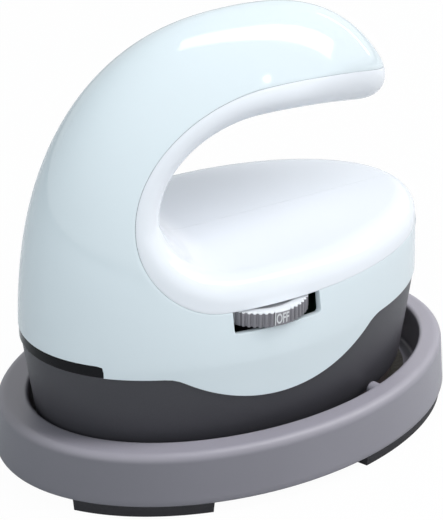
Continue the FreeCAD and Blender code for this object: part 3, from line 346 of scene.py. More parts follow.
@dataclass(frozen=True)
class Fibre(Finish):
    """Pressed or woven fibre: short threads that cross."""

    thread: float = 0.5          # width of one thread, millimetres
    bands: float = 0.16          # the wave's scale for one band to a metre

    def sockets(self, sheet: NodeSheet) -> dict[str, object]:
        """Crossing threads in bump, and fuzz in colour.

        Args:
            sheet: where their nodes are laid out.

        Returns:
            What each socket gets.
        """
        place = sheet.place()
        scale = self.bands / (self.thread * MM)
        wave = {"Vector": place, "Scale": scale, "Distortion": 2.5}
        along = sheet.add("TexWave", Detail_Scale=3.0, **wave).outputs["Fac"]
        across = sheet.add("TexWave", bands_direction="Y", **wave).outputs["Fac"]
        weave = sheet.add("Math", along, across, operation="MAXIMUM")
        fuzz = sheet.noise(place, self.thread * 2, 4.0)
        return {
            "Base Color": self.tone(sheet, fuzz, 0.85, 1.1),
            "Roughness": self.roughness,
            "Normal": sheet.bump(weave, 0.08),
            "Sheen Weight": 0.2,
        }


class Slot(Enum):
    """Every finish of the press, by the record's own slot."""

    TRAY = MouldedPlastic(
        "tray_grey", (110, 108, 116), 0.4, grain=0.3, flow=0.02, gloss=0.9
    )
    FOOT = MouldedPlastic(
        "foot_rubber", (31, 30, 34), 0.7, grain=0.5, grain_depth=0.01, speck=0.04
    )
    MAT = Fibre("mat_fibre", (96, 92, 86), 0.9, thread=0.9)
    SILICONE = MouldedPlastic("silicone", (206, 204, 198), 0.55, grain=0.8, grain_depth=0.003)
    SCREW = Metal("screw_steel", (176, 178, 182), 0.3, grain=0.4)
    SOLE = Metal(
        "sole_aluminium", (142, 128, 128), 0.42, line=(0.08, 1.0, 1.0), grain=0.35,
        grain_depth=0.004, metallic=0.6,
    )
    ELEMENT = Metal("element_steel", (150, 140, 128), 0.4, grain=1.2, tint=0.15)
    CLAMP = Metal("clamp_steel", (186, 188, 192), 0.35, line=(0.1, 1.0, 1.0))
    CERAMIC = MouldedPlastic("ceramic", (226, 221, 208), 0.5, grain=0.6, speck=0.03)
    FELT = Fibre("felt", (214, 206, 190), 0.95, thread=0.4)
    FUSE = MouldedPlastic("fuse_body", (205, 190, 160), 0.5, grain=0.9, speck=0.03)
    SKIRT = MouldedPlastic(
        "skirt_dark", (61, 60, 65), 0.45, grain=0.32, grain_depth=0.022, speck=0.08,
        flow=0.03, gloss=0.45,
    )
    SHELL = MouldedPlastic(
        "shell_blue", (231, 241, 246), 0.07, grain=0.6, grain_depth=0.0003,
        flow=0.008, flow_size=30.0, ripple=0.004,
    )
    LINER = MouldedPlastic(
        "liner_white", (239, 242, 248), 0.09, grain=0.6, grain_depth=0.0003,
        flow=0.005, flow_size=26.0, ripple=0.003,
    )
    WINDOW = SmokedLens("window_smoke", (18, 18, 21), 0.12, gloss=0.12)
    # The wheel's top face is painted lighter, a painted highlight for the light that falls on it.
    DIAL = MouldedPlastic(
        "dial_grey", (140, 137, 143), 0.3, grain=0.25, grain_depth=0.002, gloss=0.6,
        painted_top_light=(243, 244, 247), painted_top_light_z=53.36,
    )
    MARK = MouldedPlastic("mark_paint", (226, 226, 228), 0.5, grain=0.2)
    INLET = MouldedPlastic("inlet_grey", (206, 216, 222), 0.35, grain=0.4)
    BOARD = MouldedPlastic("board_green", (52, 104, 74), 0.35, grain=0.5, speck=0.06)
    COMPONENT = MouldedPlastic("component_black", (44, 44, 48), 0.5, grain=0.4, speck=0.05)
    LENS = MouldedPlastic("lamp_lens", (104, 58, 48), 0.2, grain=0.8, speck=0.02)
    LEAD = MouldedPlastic("lead_jacket", (206, 74, 58), 0.45, grain=0.6, speck=0.03)

    def dress(self, piece: Piece) -> None:
        """Gives a piece this finish, in each slot that it has.

        Args:
            piece: the piece to dress.
        """
        if not piece.data.materials:
            piece.data.materials.append(None)
        for number, holder in enumerate(piece.material_slots):
            holder.link = "DATA"
            piece.data.materials[number] = self.value.material()


class Side(Enum):
    """The two halves: which way each lies along Y, its piece's word and its node's."""

    PLAIN = (1, "plain", "left")
    DIAL = (-1, "dial", "right")


# ---------- hand moves on a mesh
@dataclass(frozen=True)
class Ring:
    """One oval of a loft, in millimetres."""

    half_x: float
    half_y: float
    z: float
    x: float = 0.0
    y: float = 0.0

    def place(self) -> Triple:
        """Its centre in metres."""
        return self.x * MM, self.y * MM, self.z * MM


def let_go() -> None:
    """Selects nothing."""
    bpy.ops.object.select_all(action="DESELECT")


def take(piece: Piece) -> None:
    """Selects only this piece and makes it the active one."""
    let_go()
    piece.select_set(True)
    bpy.context.view_layer.objects.active = piece


def named(label: str) -> Piece:
    """Names the active object and its mesh."""
    piece = bpy.context.object
    piece.name = piece.data.name = label
    return piece


@contextmanager
def editing(piece: Piece, everything: bool = False) -> Iterator[None]:
    """Takes a piece into edit mode and back.

    Args:
        piece: the piece to work on.
        everything: whether to select all of its mesh first.
    """
    take(piece)
    bpy.ops.object.mode_set(mode="EDIT")
    if everything:
        bpy.ops.mesh.select_all(action="SELECT")
    yield
    bpy.ops.object.mode_set(mode="OBJECT")


def places(piece: Piece) -> Rows:
    """The piece's vertices in millimetres, one row each."""
    flat = np.empty(len(piece.data.vertices) * 3)
    piece.data.vertices.foreach_get("co", flat)
    return flat.reshape(-1, 3) / MM


def move(piece: Piece, spots: Rows) -> None:
    """Puts the piece's vertices at places in millimetres."""
    piece.data.vertices.foreach_set("co", (spots * MM).ravel())
    piece.data.update()


def pick(piece: Piece, kind: str, wanted: Sequence[bool]) -> None:
    """Selects part of a piece's mesh in object mode.

    Args:
        piece: the piece in hand.
        kind: polygons or edges.
        wanted: says for each of them whether it is selected.
    """
    mesh = piece.data
    for group in (mesh.vertices, mesh.edges, mesh.polygons):
        group.foreach_set("select", np.zeros(len(group), bool))
    getattr(mesh, kind).foreach_set("select", wanted)
    bpy.context.tool_settings.mesh_select_mode = (False, kind == "edges", kind == "polygons")


def pick_rims(piece: Piece, test: Callable[[Vector], bool], sharp: float = 50.0) -> None:
    """Selects edges that bound a sharp turn or an open side.

    Args:
        piece: the piece in hand.
        test: says for an edge's middle, in millimetres, whether it is wanted.
        sharp: the least turn, in degrees.
    """
    form = bmesh.new()
    form.from_mesh(piece.data)
    wanted = [
        (len(e.link_faces) < 2 or e.calc_face_angle(0) > math.radians(sharp))
        and test((e.verts[0].co + e.verts[1].co) / 2 / MM)
        for e in form.edges
    ]
    form.free()
    pick(piece, "edges", wanted)


def modify(piece: Piece, kind: str, **settings: object) -> None:
    """Adds a modifier with its settings and applies it.

    Args:
        piece: the piece that gets it.
        kind: the modifier's type.
        settings: its properties by name.
    """
    take(piece)
    modifier = piece.modifiers.new(kind.title(), kind)
    for key, value in settings.items():
        setattr(modifier, key, value)
    bpy.ops.object.modifier_apply(modifier=modifier.name)


def rod(label: str, radius: float, length: float, sides: int) -> Piece:
    """A cylinder primitive along X about the origin.

    Args:
        label: the piece's name.
        radius: its radius in millimetres.
        length: its length in millimetres.
        sides: how many faces it has round.

    Returns:
        The cylinder, its turn not applied yet.
    """
    let_go()
    bpy.ops.mesh.primitive_cylinder_add(
        vertices=sides, radius=radius * MM, depth=length * MM, rotation=(0, math.pi / 2, 0)
    )
    return named(label)


def grid(label: str, net: Rows) -> Piece:
    """A grid primitive drawn out to a net of places.

    Args:
        label: the piece's name.
        net: rows by columns by three, in millimetres.

    Returns:
        The open sheet.
    """
    rows, columns = net.shape[0] - 1, net.shape[1] - 1
    let_go()
    bpy.ops.mesh.primitive_grid_add(x_subdivisions=rows, y_subdivisions=columns, size=1.0)
    piece = named(label)
    flat = places(piece) * MM
    across = np.rint((flat[:, 0] + 0.5) * rows).astype(int)
    along = np.rint((flat[:, 1] + 0.5) * columns).astype(int)
    move(piece, net[across, along])
    return piece


def loft(label: str, rings: Sequence[Ring], count: int) -> Piece:
    """Ring after ring, extruded and scaled by hand, with both ends filled.

    Args:
        label: the piece's name.
        rings: the ovals, from first to last.
        count: vertices in a ring.

    Returns:
        The closed piece.
    """
    let_go()
    bpy.ops.mesh.primitive_circle_add(vertices=count, radius=MM, location=rings[0].place())
    piece = named(label)
    last = replace(rings[0], half_x=1.0, half_y=1.0)
    with editing(piece, True):
        for ring in rings:
            if ring is not rings[0]:
                step = [(b - a) for a, b in zip(last.place(), ring.place())]
                bpy.ops.mesh.extrude_region_move(TRANSFORM_OT_translate={"value": step})
            share = (ring.half_x / last.half_x, ring.half_y / last.half_y, 1.0)
            bpy.ops.transform.resize(value=share, center_override=ring.place())
            last = ring
        bpy.ops.mesh.select_all(action="SELECT")
        bpy.ops.mesh.fill_holes(sides=0)
        bpy.ops.mesh.select_all(action="SELECT")
        bpy.ops.mesh.normals_make_consistent(inside=False)
    bpy.ops.object.transform_apply()
    return piece


def finish(piece: Piece, slot: Slot, body: str, *nodes: str, angle: float = 40.0) -> Piece:
    """Smooths, dresses and mounts a shaped piece.

    Args:
        piece: the shaped piece.
        slot: its finish.
        body: the body that it rides on.
        nodes: the nodes that it stands for.
        angle: edges sharper than this stay sharp, in degrees.

    Returns:
        The piece.
    """
    take(piece)
    bpy.ops.object.transform_apply()
    bpy.ops.object.shade_smooth_by_angle(angle=math.radians(angle))
    slot.dress(piece)
    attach(piece, body)
    if nodes:
        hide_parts(*nodes)
    log.info("%s: %d faces, on %s", piece.name, len(piece.data.polygons), body)
    return piece


# ---------- curves
def arc(radius: float, first: float, last: float, steps: int) -> list[tuple[float, float]]:
    """Points of an arc about the origin.

    Args:
        radius: the arc's radius.
        first: first angle, in degrees.
        last: last angle, in degrees.
        steps: how many chords.

    Returns:
        The points as pairs.
    """
    turns = [math.radians(first + (last - first) * i / steps) for i in range(steps + 1)]
    return [(radius * math.cos(t), radius * math.sin(t)) for t in turns]


def arch(radius: float, away: Rows) -> Rows:
    """Height of a circle at a distance from its middle, 0 outside it."""
    return np.sqrt(np.clip(radius**2 - away**2, 0, None))


def split(line: Rows, at: Sequence[int]) -> list[Rows]:
    """Cuts a line at row numbers. Neighbours share the row between them."""
    return [line[a: b + 1] for a, b in zip(at, at[1:])]


def spliced(lines: Sequence[Rows], counts: Sequence[int]) -> Rows:
    """Joins lines, each in its own count of even steps.

    Args:
        lines: the lines, one after the other.
        counts: how many steps each gets.

    Returns:
        The joined line's places.
    """
    joined = []
    for line, count in zip(lines, counts):
        run = np.r_[0, np.cumsum(np.linalg.norm(np.diff(line, axis=0), axis=1))]
        at = np.linspace(0, 1, count + 1)[:-1] * run[-1]
        joined.append(np.stack([np.interp(at, run, axis) for axis in line.T], 1))
    return np.vstack([*joined, lines[-1][-1:]])


# ---------- rest tray
@dataclass
class RestTray:
    """Oval tray with a rounded rim and a well, and the ribs that centre the press."""

    half_length: float = 68.0
    half_width: float = 46.7
    foot_z: float = 3.5
    rim_z: float = 18.7
    floor_z: float = 6.5
    draft: float = 1.2           # how far the wall leans in, from foot to rim
    well: Ring = Ring(59.4, 38.5, 12.0, 1.1)       # half way down the well
    outer_round: float = 2.4
    inner_round: float = 1.2
    foot_round: float = 0.6
    floor_round: float = 1.0
    flat: float = 0.5            # from a rounding to the next ring beside it
    upright: float = 0.4         # and above or below it
    under_insets: Triple = (40.0, 12.0, 1.2)
    wall_levels: tuple[float, ...] = (5.5, 8.0, 11.0, 14.0)
    floor_insets: Triple = (1.6, 11.5, 25.5)
    rib_angle: float = 62.7
    rib_half_width: float = 2.1
    rib_reach: float = 2.3
    rib_sink: float = 1.5        # how deep the rib stands in the wall
    rib_drop: float = 0.2        # its top below the rim
    rib_base: float = 0.3        # its foot below the floor
    rib_round: float = 0.7
    count: int = 256

    def rings(self) -> list[Ring]:
        """The ovals from the underside, up the wall, over the rim and down to the floor.

        Returns:
            The ovals in that order.
        """
        foot, rim, floor = self.foot_z, self.rim_z, self.floor_z
        lean = self.draft / (rim - foot)
        r = self.foot_round
        outer = [(inset, foot) for inset in self.under_insets]
        outer += [(r + a, foot + r + b) for a, b in arc(r, 270, 180, 4)]
        r = self.outer_round
        high = rim - r
        shift = lean * (high - foot)
        outer += [(lean * (z - foot), z) for z in (*self.wall_levels, high - self.upright)]
        outer += [(shift + r + a, high + b) for a, b in arc(r, 180, 90, 8)]
        outer += [(shift + r + self.flat, rim)]
        r = self.inner_round
        inner = [(-r - self.flat, rim)]
        inner += [(-r + a, rim - r + b) for a, b in arc(r, 90, 0, 6)]
        inner += [(0.0, rim - r - self.upright), (0.0, self.well.z)]
        r = self.floor_round
        inner += [(0.0, floor + r + self.flat)]
        inner += [(r - a, floor + r - b) for a, b in arc(r, 0, 90, 5)]
        inner += [(inset, floor) for inset in self.floor_insets]
        well = self.well
        return [Ring(self.half_length - a, self.half_width - a, z) for a, z in outer] + [
            Ring(well.half_x - a, well.half_y - a, z, well.x) for a, z in inner
        ]

    def rib(self, side: Side) -> Piece:
        """Round-topped rib on the wall of the well, sunk into the wall on one side.

        Args:
            side: the half that it stands on.

        Returns:
            The rib.
        """
        way, _, hand = side.value
        turn = math.radians(self.rib_angle * way)
        length, width = self.well.half_x, self.well.half_y
        spot = Vector((self.well.x + length * math.cos(turn), width * math.sin(turn)))
        outward = Vector((width * math.cos(turn), length * math.sin(turn))).normalized()
        middle = spot + outward * (self.rib_sink - self.rib_reach) / 2
        depth = self.rib_reach + self.rib_sink
        spring = self.rim_z - self.rib_drop - self.rib_half_width
        rib = rod(f"tray_rib_{hand}", self.rib_half_width, depth, 48)
        bpy.ops.object.transform_apply()
        with editing(rib, True):
            bpy.ops.mesh.bisect(
                plane_co=(0, 0, 0), plane_no=(0, 0, 1), clear_inner=True, use_fill=True
            )
        pick(rib, "polygons", [face.normal.z < -0.9 for face in rib.data.polygons])
        drop = (0, 0, -(spring - self.floor_z + self.rib_base) * MM)
        with editing(rib):
            bpy.ops.mesh.extrude_region_move(TRANSFORM_OT_translate={"value": drop})
        pick_rims(rib, lambda spot: spot.x < 0.1 - depth / 2)
        with editing(rib):
            bpy.ops.mesh.bevel(offset=self.rib_round * MM, segments=4, affect="EDGES")
        rib.rotation_euler = (0, 0, math.atan2(outward.y, outward.x))
        rib.location = (middle.x * MM, middle.y * MM, spring * MM)
        return finish(rib, Slot.TRAY, "base")

    def build(self) -> None:
        """Makes the tray and its ribs."""
        tray = loft("rest_tray", self.rings(), self.count)
        finish(tray, Slot.TRAY, "base", "base_tray")
        for side in Side:
            self.rib(side)


# ---------- the body's form
@dataclass(frozen=True)
class GripProfile:
    """Side outline of the grip's opening, or of the seam round it."""

    bottom: float
    back: float
    top: float
    corner: float
    crest: float
    fall: float
    end: float = 75.0            # where both arms stop
    steps: tuple[int, int, int, int] = (60, 50, 90, 80)

    def points(self, grow: float) -> tuple[Rows, list[int]]:
        """Outline from the heel, round the back, to the tip.

        Args:
            grow: how far it is moved outwards.

        Returns:
            Places as (x, z) rows, and the row where each of its parts starts.
        """
        bottom, back, top = self.bottom - grow, self.back - grow, self.top + grow
        knee_x, knee_z = self.back + self.corner, self.bottom + self.corner
        radius, span = self.corner + grow, self.fall - grow
        low = np.linspace(self.end, knee_x, self.steps[0])[:-1]
        turn = np.radians(np.linspace(270, 180, self.steps[1]))[:-1]
        rise = np.radians(np.linspace(180, 90, self.steps[2]))[:-1]
        out = np.linspace(self.crest, self.end, self.steps[3])
        parts = [
            (low, np.full_like(low, bottom)),
            (knee_x + radius * np.cos(turn), knee_z + radius * np.sin(turn)),
            (
                self.crest + (self.crest - back) * np.cos(rise),
                knee_z + (top - knee_z) * np.sin(rise),
            ),
            (out, top - span + arch(span, out - self.crest)),
        ]
        starts = np.cumsum([0] + [len(x) for x, _ in parts])
        return np.vstack([np.c_[x, z] for x, z in parts]), list(starts)


@dataclass(frozen=True)
class BodyForm:
    """The closed form that shells, liner and window are faces of. Millimetres."""

    press_x: float = -1.2
    waist: float = 40.0
    top: float = 122.33
    half_length: float = 59.1
    half_width: float = 38.3
    length_powers: tuple[float, float] = (2.65, 2.4)
    width_powers: tuple[float, float] = (1.3, 1.73)
    lean: float = 3.5
    lean_power: float = 1.3
    lip: float = 6.0
    tip_lip: float = 13.5        # radius of the lip where it rolls round the tip
    tip_start: float = 8.0       # where the lip begins to grow, along the press
    tip_end: float = 38.0
    lip_low: float = 80.0        # the lip grows only above this
    roll_low: float = 88.0       # and the hull follows it only above this
    crown: float = 86.0          # the grip's face falls off by y squared over this
    core: Triple = (0.0, 0.0, 72.0)
    opening: GripProfile = GripProfile(62.2, -26.5, 95.3, 14.0, 1.0, 130.0)
    seam: GripProfile = GripProfile(54.3, -39.0, 106.0, 19.5, 3.0, 131.0)

    def section(self, z: Rows) -> tuple[Rows, Rows, Rows]:
        """Half length, half width and centre of the oval at height z.

        Args:
            z: heights.

        Returns:
            One of each for every height.
        """
        rise = np.clip((np.asarray(z, float) - self.waist) / (self.top - self.waist), 0, 1)
        a = self.half_length * (1 - rise ** self.length_powers[0]) ** (1 / self.length_powers[1])
        b = self.half_width * (1 - rise ** self.width_powers[0]) ** (1 / self.width_powers[1])
        return a, b, self.press_x + self.lean * rise**self.lean_power

    def level(self, p: Rows) -> Rows:
        """1 on the form's face, less inside it."""
        a, b, x = self.section(np.minimum(p[..., 2], self.top - 1e-4))
        share = np.sqrt(((p[..., 0] - x) / a) ** 2 + (p[..., 1] / b) ** 2)
        return np.where(p[..., 2] > self.top, 2.0 + p[..., 2] - self.top, share)

    def slope(self, value: Callable[[Rows], Rows], p: Rows, step: float = 1e-3) -> Rows:
        """Gradient of a value at places, by small steps."""
        ways = np.eye(3) * step
        return np.stack([(value(p + way) - value(p - way)) / (2 * step) for way in ways], -1)

    def onto_face(self, p: Rows) -> Rows:
        """Moves places out from, or in to, the core until they are on the face.

        Args:
            p: places.

        Returns:
            The places on the face.
        """
        core = np.array(self.core)
        way = p - core
        low, high = np.full(p.shape[:-1], 0.05), np.full(p.shape[:-1], 4.0)
        for _ in range(48):
            middle = (low + high) / 2
            inside = self.level(core + way * middle[..., None]) < 1
            low, high = np.where(inside, middle, low), np.where(inside, high, middle)
        return core + way * ((low + high) / 2)[..., None]

    def on_side(self, outline: Rows) -> Rows:
        """(x, z) rows as places on the +Y face, on the middle plane outside its outline."""
        a, b, centre = self.section(outline[:, 1])
        y = b * arch(1, (outline[:, 0] - centre) / np.maximum(a, 1e-6))
        return np.c_[outline[:, 0], y, outline[:, 1]]

    def leaving(self, inner: Rows, outer: Rows) -> Rows:
        """Where the way from a place in the side outline to one outside it leaves the form.

        Args:
            inner: place inside, (x, z).
            outer: place outside.

        Returns:
            The place between them.
        """
        low, high = 0.0, 1.0
        for _ in range(50):
            t = (low + high) / 2
            x, z = inner + (outer - inner) * t
            half, _, middle = self.section(z)
            low, high = (t, high) if abs(x - middle) < half else (low, t)
        return inner + (outer - inner) * low

    def side_line(self, outline: Rows) -> Rows:
        """A side outline as places on the +Y face, from end to end of the form.

        Args:
            outline: (x, z) rows that start and end outside the form.

        Returns:
            Places, closest at the ends, the first and last of them on the middle plane.
        """
        a, _, centre = self.section(outline[:, 1])
        first, last = np.flatnonzero(np.abs(outline[:, 0] - centre) < a)[[0, -1]]
        near = self.leaving(outline[first], outline[first - 1])
        far = self.leaving(outline[last], outline[last + 1])
        t = np.linspace(0, 1, 40)[:-1, None] ** 2
        start, end = near + (outline[first] - near) * t, far + (outline[last] - far) * t
        line = self.on_side(np.vstack([start, outline[first: last + 1], end[::-1]]))
        line[0, 1] = line[-1, 1] = 0.0
        return line

    def grip_distance(self, p: Rows, line: Rows, bow: Rows, batch: int = 4000) -> Rows:
        """How far places lie outside the opening's crowned face, negative within the wall.

        Args:
            p: places.
            line: the opening's outline, (x, z) rows.
            bow: how strongly the face is crowned at each row, 0 to 1.
            batch: how many places are measured at once.

        Returns:
            One distance for each place.
        """
        flat = p.reshape(-1, 3)
        start, step = line[:-1], np.diff(line, axis=0)
        length = (step**2).sum(1)
        result = []
        for first in range(0, len(flat), batch):
            q = flat[first: first + batch]
            away = q[:, None, ::2] - start[None]
            t = np.clip((away * step).sum(-1) / length, 0, 1)
            gap = away - step[None] * t[..., None]
            square = (gap**2).sum(-1)
            best, rows = square.argmin(1), np.arange(len(q))
            side = step[best, 0] * gap[rows, best, 1] - step[best, 1] * gap[rows, best, 0]
            depth = np.sqrt(square[rows, best]) * np.sign(side)
            result.append(bow[best] * q[:, 1] ** 2 / self.crown - depth)
        return np.concatenate(result).reshape(p.shape[:-1])

    def settle(self, net: Rows) -> Rows:
        """Settles a net onto the form with its opening cut and its lips rolled.

        Args:
            net: places near the face, none below the middle plane.

        Returns:
            The places on the face.
        """
        outline, (_, knee, back, *_) = self.opening.points(0.0)
        bow = np.ones(len(outline) - 1)
        bow[:knee] = 0.0
        bow[knee:back] = np.linspace(0, 1, back - knee) ** 2

        def face(p: Rows) -> Rows:
            """0 on the rolled face, less inside it.

            Args:
                p: places.

            Returns:
                Their levels.
            """
            reach = np.linalg.norm(self.slope(self.level, p), axis=-1)
            hull = (self.level(p) - 1) / np.maximum(reach, 1e-4)
            cut = self.grip_distance(p, outline, bow)
            share = np.clip((p[..., 0] - self.tip_start) / (self.tip_end - self.tip_start), 0, 1)
            share = np.where(p[..., 2] > self.lip_low, share**2 * (3 - 2 * share), 0)
            r = self.lip + (self.tip_lip - self.lip) * share
            both = np.sqrt(np.maximum(hull + r, 0) ** 2 + np.maximum(cut + r, 0) ** 2)
            return np.minimum(-r, np.maximum(hull, cut)) + both

        for _ in range(7):
            slope = self.slope(face, net)
            move_by = face(net) / np.maximum((slope**2).sum(-1), 0.05)
            net = net - slope * np.clip(move_by, -3, 3)[..., None]
            net[..., 1] = np.maximum(net[..., 1], 0)
        return net

    def roll_tip(self, line: Rows) -> Rows:
        """Settles only those places of the hull that the rolled tip takes in.

        Args:
            line: places on the hull.

        Returns:
            All of the places.
        """
        near = (line[..., 2] > self.roll_low) & (line[..., 0] > self.tip_start)
        line = line.copy()
        line[near] = self.settle(line[near])
        return line


# ---------- the casing
@dataclass
class Casing:
    """Blue side shells, white liners, smoked window and dark skirt."""

    form: BodyForm = BodyForm()
    wall: float = 2.0
    groove: float = 0.035        # half of the gap between shell and liner
    parting: float = 0.03        # half of the gap on the middle plane
    shell_parting: float = 0.012 # the same between the two shells
    edge_round: float = 0.12
    sharp_within: float = 0.25   # rims this near to the middle plane aren't rounded
    nose_edge: float = 37.6
    heel_edge: float = 40.4
    bulge_low: float = 28.7
    bulge_x: float = -5.0
    bulge_radius: float = 50.0
    edge_corner: float = 9.0
    window_top: float = 41.0
    window_half_width: float = 22.2
    window_corner: float = 1.2   # rounding of the shells above the window's ends
    window_round: float = 1.1    # rounding of the window's own upper corners
    window_lift: float = 0.2     # its lower edge over the shells' lowest edge
    window_gap: float = 0.12
    window_sink: float = 0.18    # how far its face lies below the shells'
    window_wall: float = 1.6
    slot_x: float = -4.6
    slot_half_length: float = 12.4
    slot_low: float = 48.3
    slot_corner: float = 1.0
    slot_marks: tuple[float, ...] = (9.0, 3.0, -0.5)       # the border's cuts past the slot's ends
    nose_marks: tuple[float, ...] = (74.0, 106.0)          # its cuts up the nose
    border_rise: float = 3.5     # its end at the tip over the seam's end
    knee: tuple[float, float] = (-20.0, 60.0)              # the seam's cut above the dial, (x, z)
    skirt_bottom: float = 14.0
    skirt_inset: float = 0.3
    skirt_lean: tuple[float, float] = (3.4, 2.8)
    skirt_wall: float = 3.0
    skirt_round: float = 0.8
    skirt_straight: float = 1.4  # height over its foot where the wall's straight part starts
    deck_z: float = 24.0
    deck_thickness: float = 2.0
    deck_inset: float = 36.0     # the innermost rings of the deck
    inner_levels: tuple[float, ...] = (20.0, 16.0)         # rings on the skirt's inner wall
    inner_round: float = 0.5     # chamfer at that wall's foot
    tongue: float = 2.2
    tongue_inset: tuple[float, float] = (2.1, 3.5)         # its outer and inner face
    tongue_round: float = 0.1
    seam_shadow: float = 0.2     # gap between shell and skirt
    inlet_z: float = 48.5
    inlet_radius: float = 5.03
    inlet_depth: float = 16.0
    inlet_sides: int = 96
    shell_steps: tuple[int, ...] = (46, 6, 4, 26, 4, 6, 14, 18, 26, 26, 44)
    border_steps: tuple[int, ...] = (46, 6, 4, 26, 4, 6, 14, 18, 16, 30, 14, 36)
    liner_steps: tuple[int, ...] = (74, 22, 40, 56)
    shell_rows: int = 47         # places across the shell
    flank_rows: int = 15         # across the liner's flank
    bore_rows: int = 35          # and from its rim to the middle plane
    pull: float = 2.5            # the liner's middle line inside its rim, at both ends

    def edge_level(self, x: Rows) -> Rows:
        """Height of the shells' lower edge along the press.

        Args:
            x: places along it.

        Returns:
            The heights.
        """
        radius, corner = self.bulge_radius, self.edge_corner
        centre_z = self.bulge_low + radius
        level = np.where(x < self.bulge_x, self.nose_edge, self.heel_edge)
        away = arch(radius + corner, centre_z - level + corner)
        offset = np.abs(x - self.bulge_x)
        bulge = centre_z - arch(radius, offset)
        small = level - corner + arch(corner, offset - away)
        joint = away * radius / (radius + corner)
        return np.where(offset < joint, bulge, np.where(offset < away, small, level))

    def lower_line(self) -> list[Rows]:
        """The shell's lower border on the +Y face, from heel to nose, in three parts.

        Returns:
            The edge, the window's end and the line over the window.
        """
        form, lift = self.form, self.seam_shadow / 2
        share = self.window_half_width / form.half_width
        corner_x = form.press_x - form.half_length * math.sqrt(1 - share**2)
        turn = np.linspace(0, math.pi, 1600)
        z = np.full_like(turn, self.nose_edge)
        for _ in range(3):
            a, b, centre = form.section(z)
            x = centre + a * np.cos(turn)
            z = self.edge_level(x) + lift
        edge = np.c_[x, b * np.sin(turn), z][x > corner_x]
        edge[0, 1] = 0.0
        top, r = self.window_top + lift, self.window_corner
        bend = np.radians(np.linspace(0, 90, 12))
        corner = np.c_[corner_x - r * 0.6 * (1 - np.cos(bend)), top - r + r * np.sin(bend)]
        side = np.linspace((corner_x, edge[-1, 2]), (corner_x, top - r), 8, endpoint=False)
        rise = form.on_side(np.vstack([side, corner]))
        a, b, centre = form.section(top)
        sweep = np.linspace(math.acos((rise[-1, 0] - centre) / a), math.pi, 200)
        front = np.c_[centre + a * np.cos(sweep), b * np.sin(sweep), np.full(200, top)]
        front[-1, 1] = 0.0
        return [edge, rise, front[1:]]

    def ridge_line(self, tip_z: float) -> Rows:
        """The middle line over the nose and the top to the tip, down to tip_z.

        Args:
            tip_z: height of its end at the tip.

        Returns:
            Places on the middle plane.
        """
        climb = 1 - (1 - np.linspace(0, 1, 900)) ** 2.6
        halves = []
        for low, way in ((self.window_top, -1), (tip_z, 1)):
            z = low + (self.form.top - low) * climb
            a, _, centre = self.form.section(z)
            halves.append(np.c_[centre + way * a, np.zeros_like(z), z])
        return np.vstack([halves[0], halves[1][-2::-1]])

    def seam_line(self, grow: float) -> Rows:
        """The seam on the +Y face, heel to tip."""
        outline, _ = self.form.seam.points(grow)
        return self.form.roll_tip(self.form.side_line(outline))

    def slot_line(self, start: Rows, end: Rows, cut: bool) -> list[Rows]:
        """The seam past the dial, in five parts: down, round, along, round and up.

        Args:
            start: the seam where the slot starts, on the heel's side.
            end: the seam where it ends.
            cut: False for the side that has no slot.

        Returns:
            Five lines on the +Y face.
        """
        if not cut:
            line = start + (end - start) * np.linspace(0, 1, 101)[:, None]
            return split(self.form.on_side(line[:, ::2]), range(0, 101, 20))
        r, low, x1, x0 = self.slot_corner, self.slot_low, start[0], end[0]
        bend = np.radians(np.linspace(0, 90, 9))
        drop = np.linspace(start[2], low + r, 12)
        lines = [
            (np.full(12, x1), drop),
            (x1 - r + r * np.cos(bend), low + r - r * np.sin(bend)),
            (np.linspace(x1 - r, x0 + r, 60), np.full(60, low)),
            (x0 + r - r * np.sin(bend), low + r - r * np.cos(bend)),
            (np.full(12, x0), drop[::-1]),
        ]
        return [self.form.on_side(np.c_[x, z]) for x, z in lines]

    def border(self, tip_z: float, x0: float, x1: float) -> Rows:
        """The shell's outer border on the +Y face: heel, nose and over to the tip.

        Args:
            tip_z: height of the seam's end at the tip.
            x0: the slot's end towards the nose.
            x1: the slot's end towards the heel.

        Returns:
            Places, as many as on the seam.
        """
        edge, rise, front = self.lower_line()
        ridge = self.ridge_line(tip_z + self.border_rise)
        top = int(np.argmax(ridge[:, 2]))
        nose = np.vstack([front[-1:], ridge[: top + 1]])
        levels = [int(np.argmin(np.abs(nose[:, 2] - z))) for z in self.nose_marks]
        marks = [x1 + m for m in self.slot_marks] + [x0 - m for m in self.slot_marks[::-1]]
        cuts = [int(np.flatnonzero(edge[:, 0] <= x)[0]) for x in marks]
        lower = np.vstack([edge, rise, front])
        corner = len(edge) + len(rise) - 20
        return spliced([
            *split(lower, [0, *cuts, corner, len(lower) - 1]),
            *split(nose, [0, *levels, len(nose) - 1]),
            ridge[top:],
        ], self.border_steps)

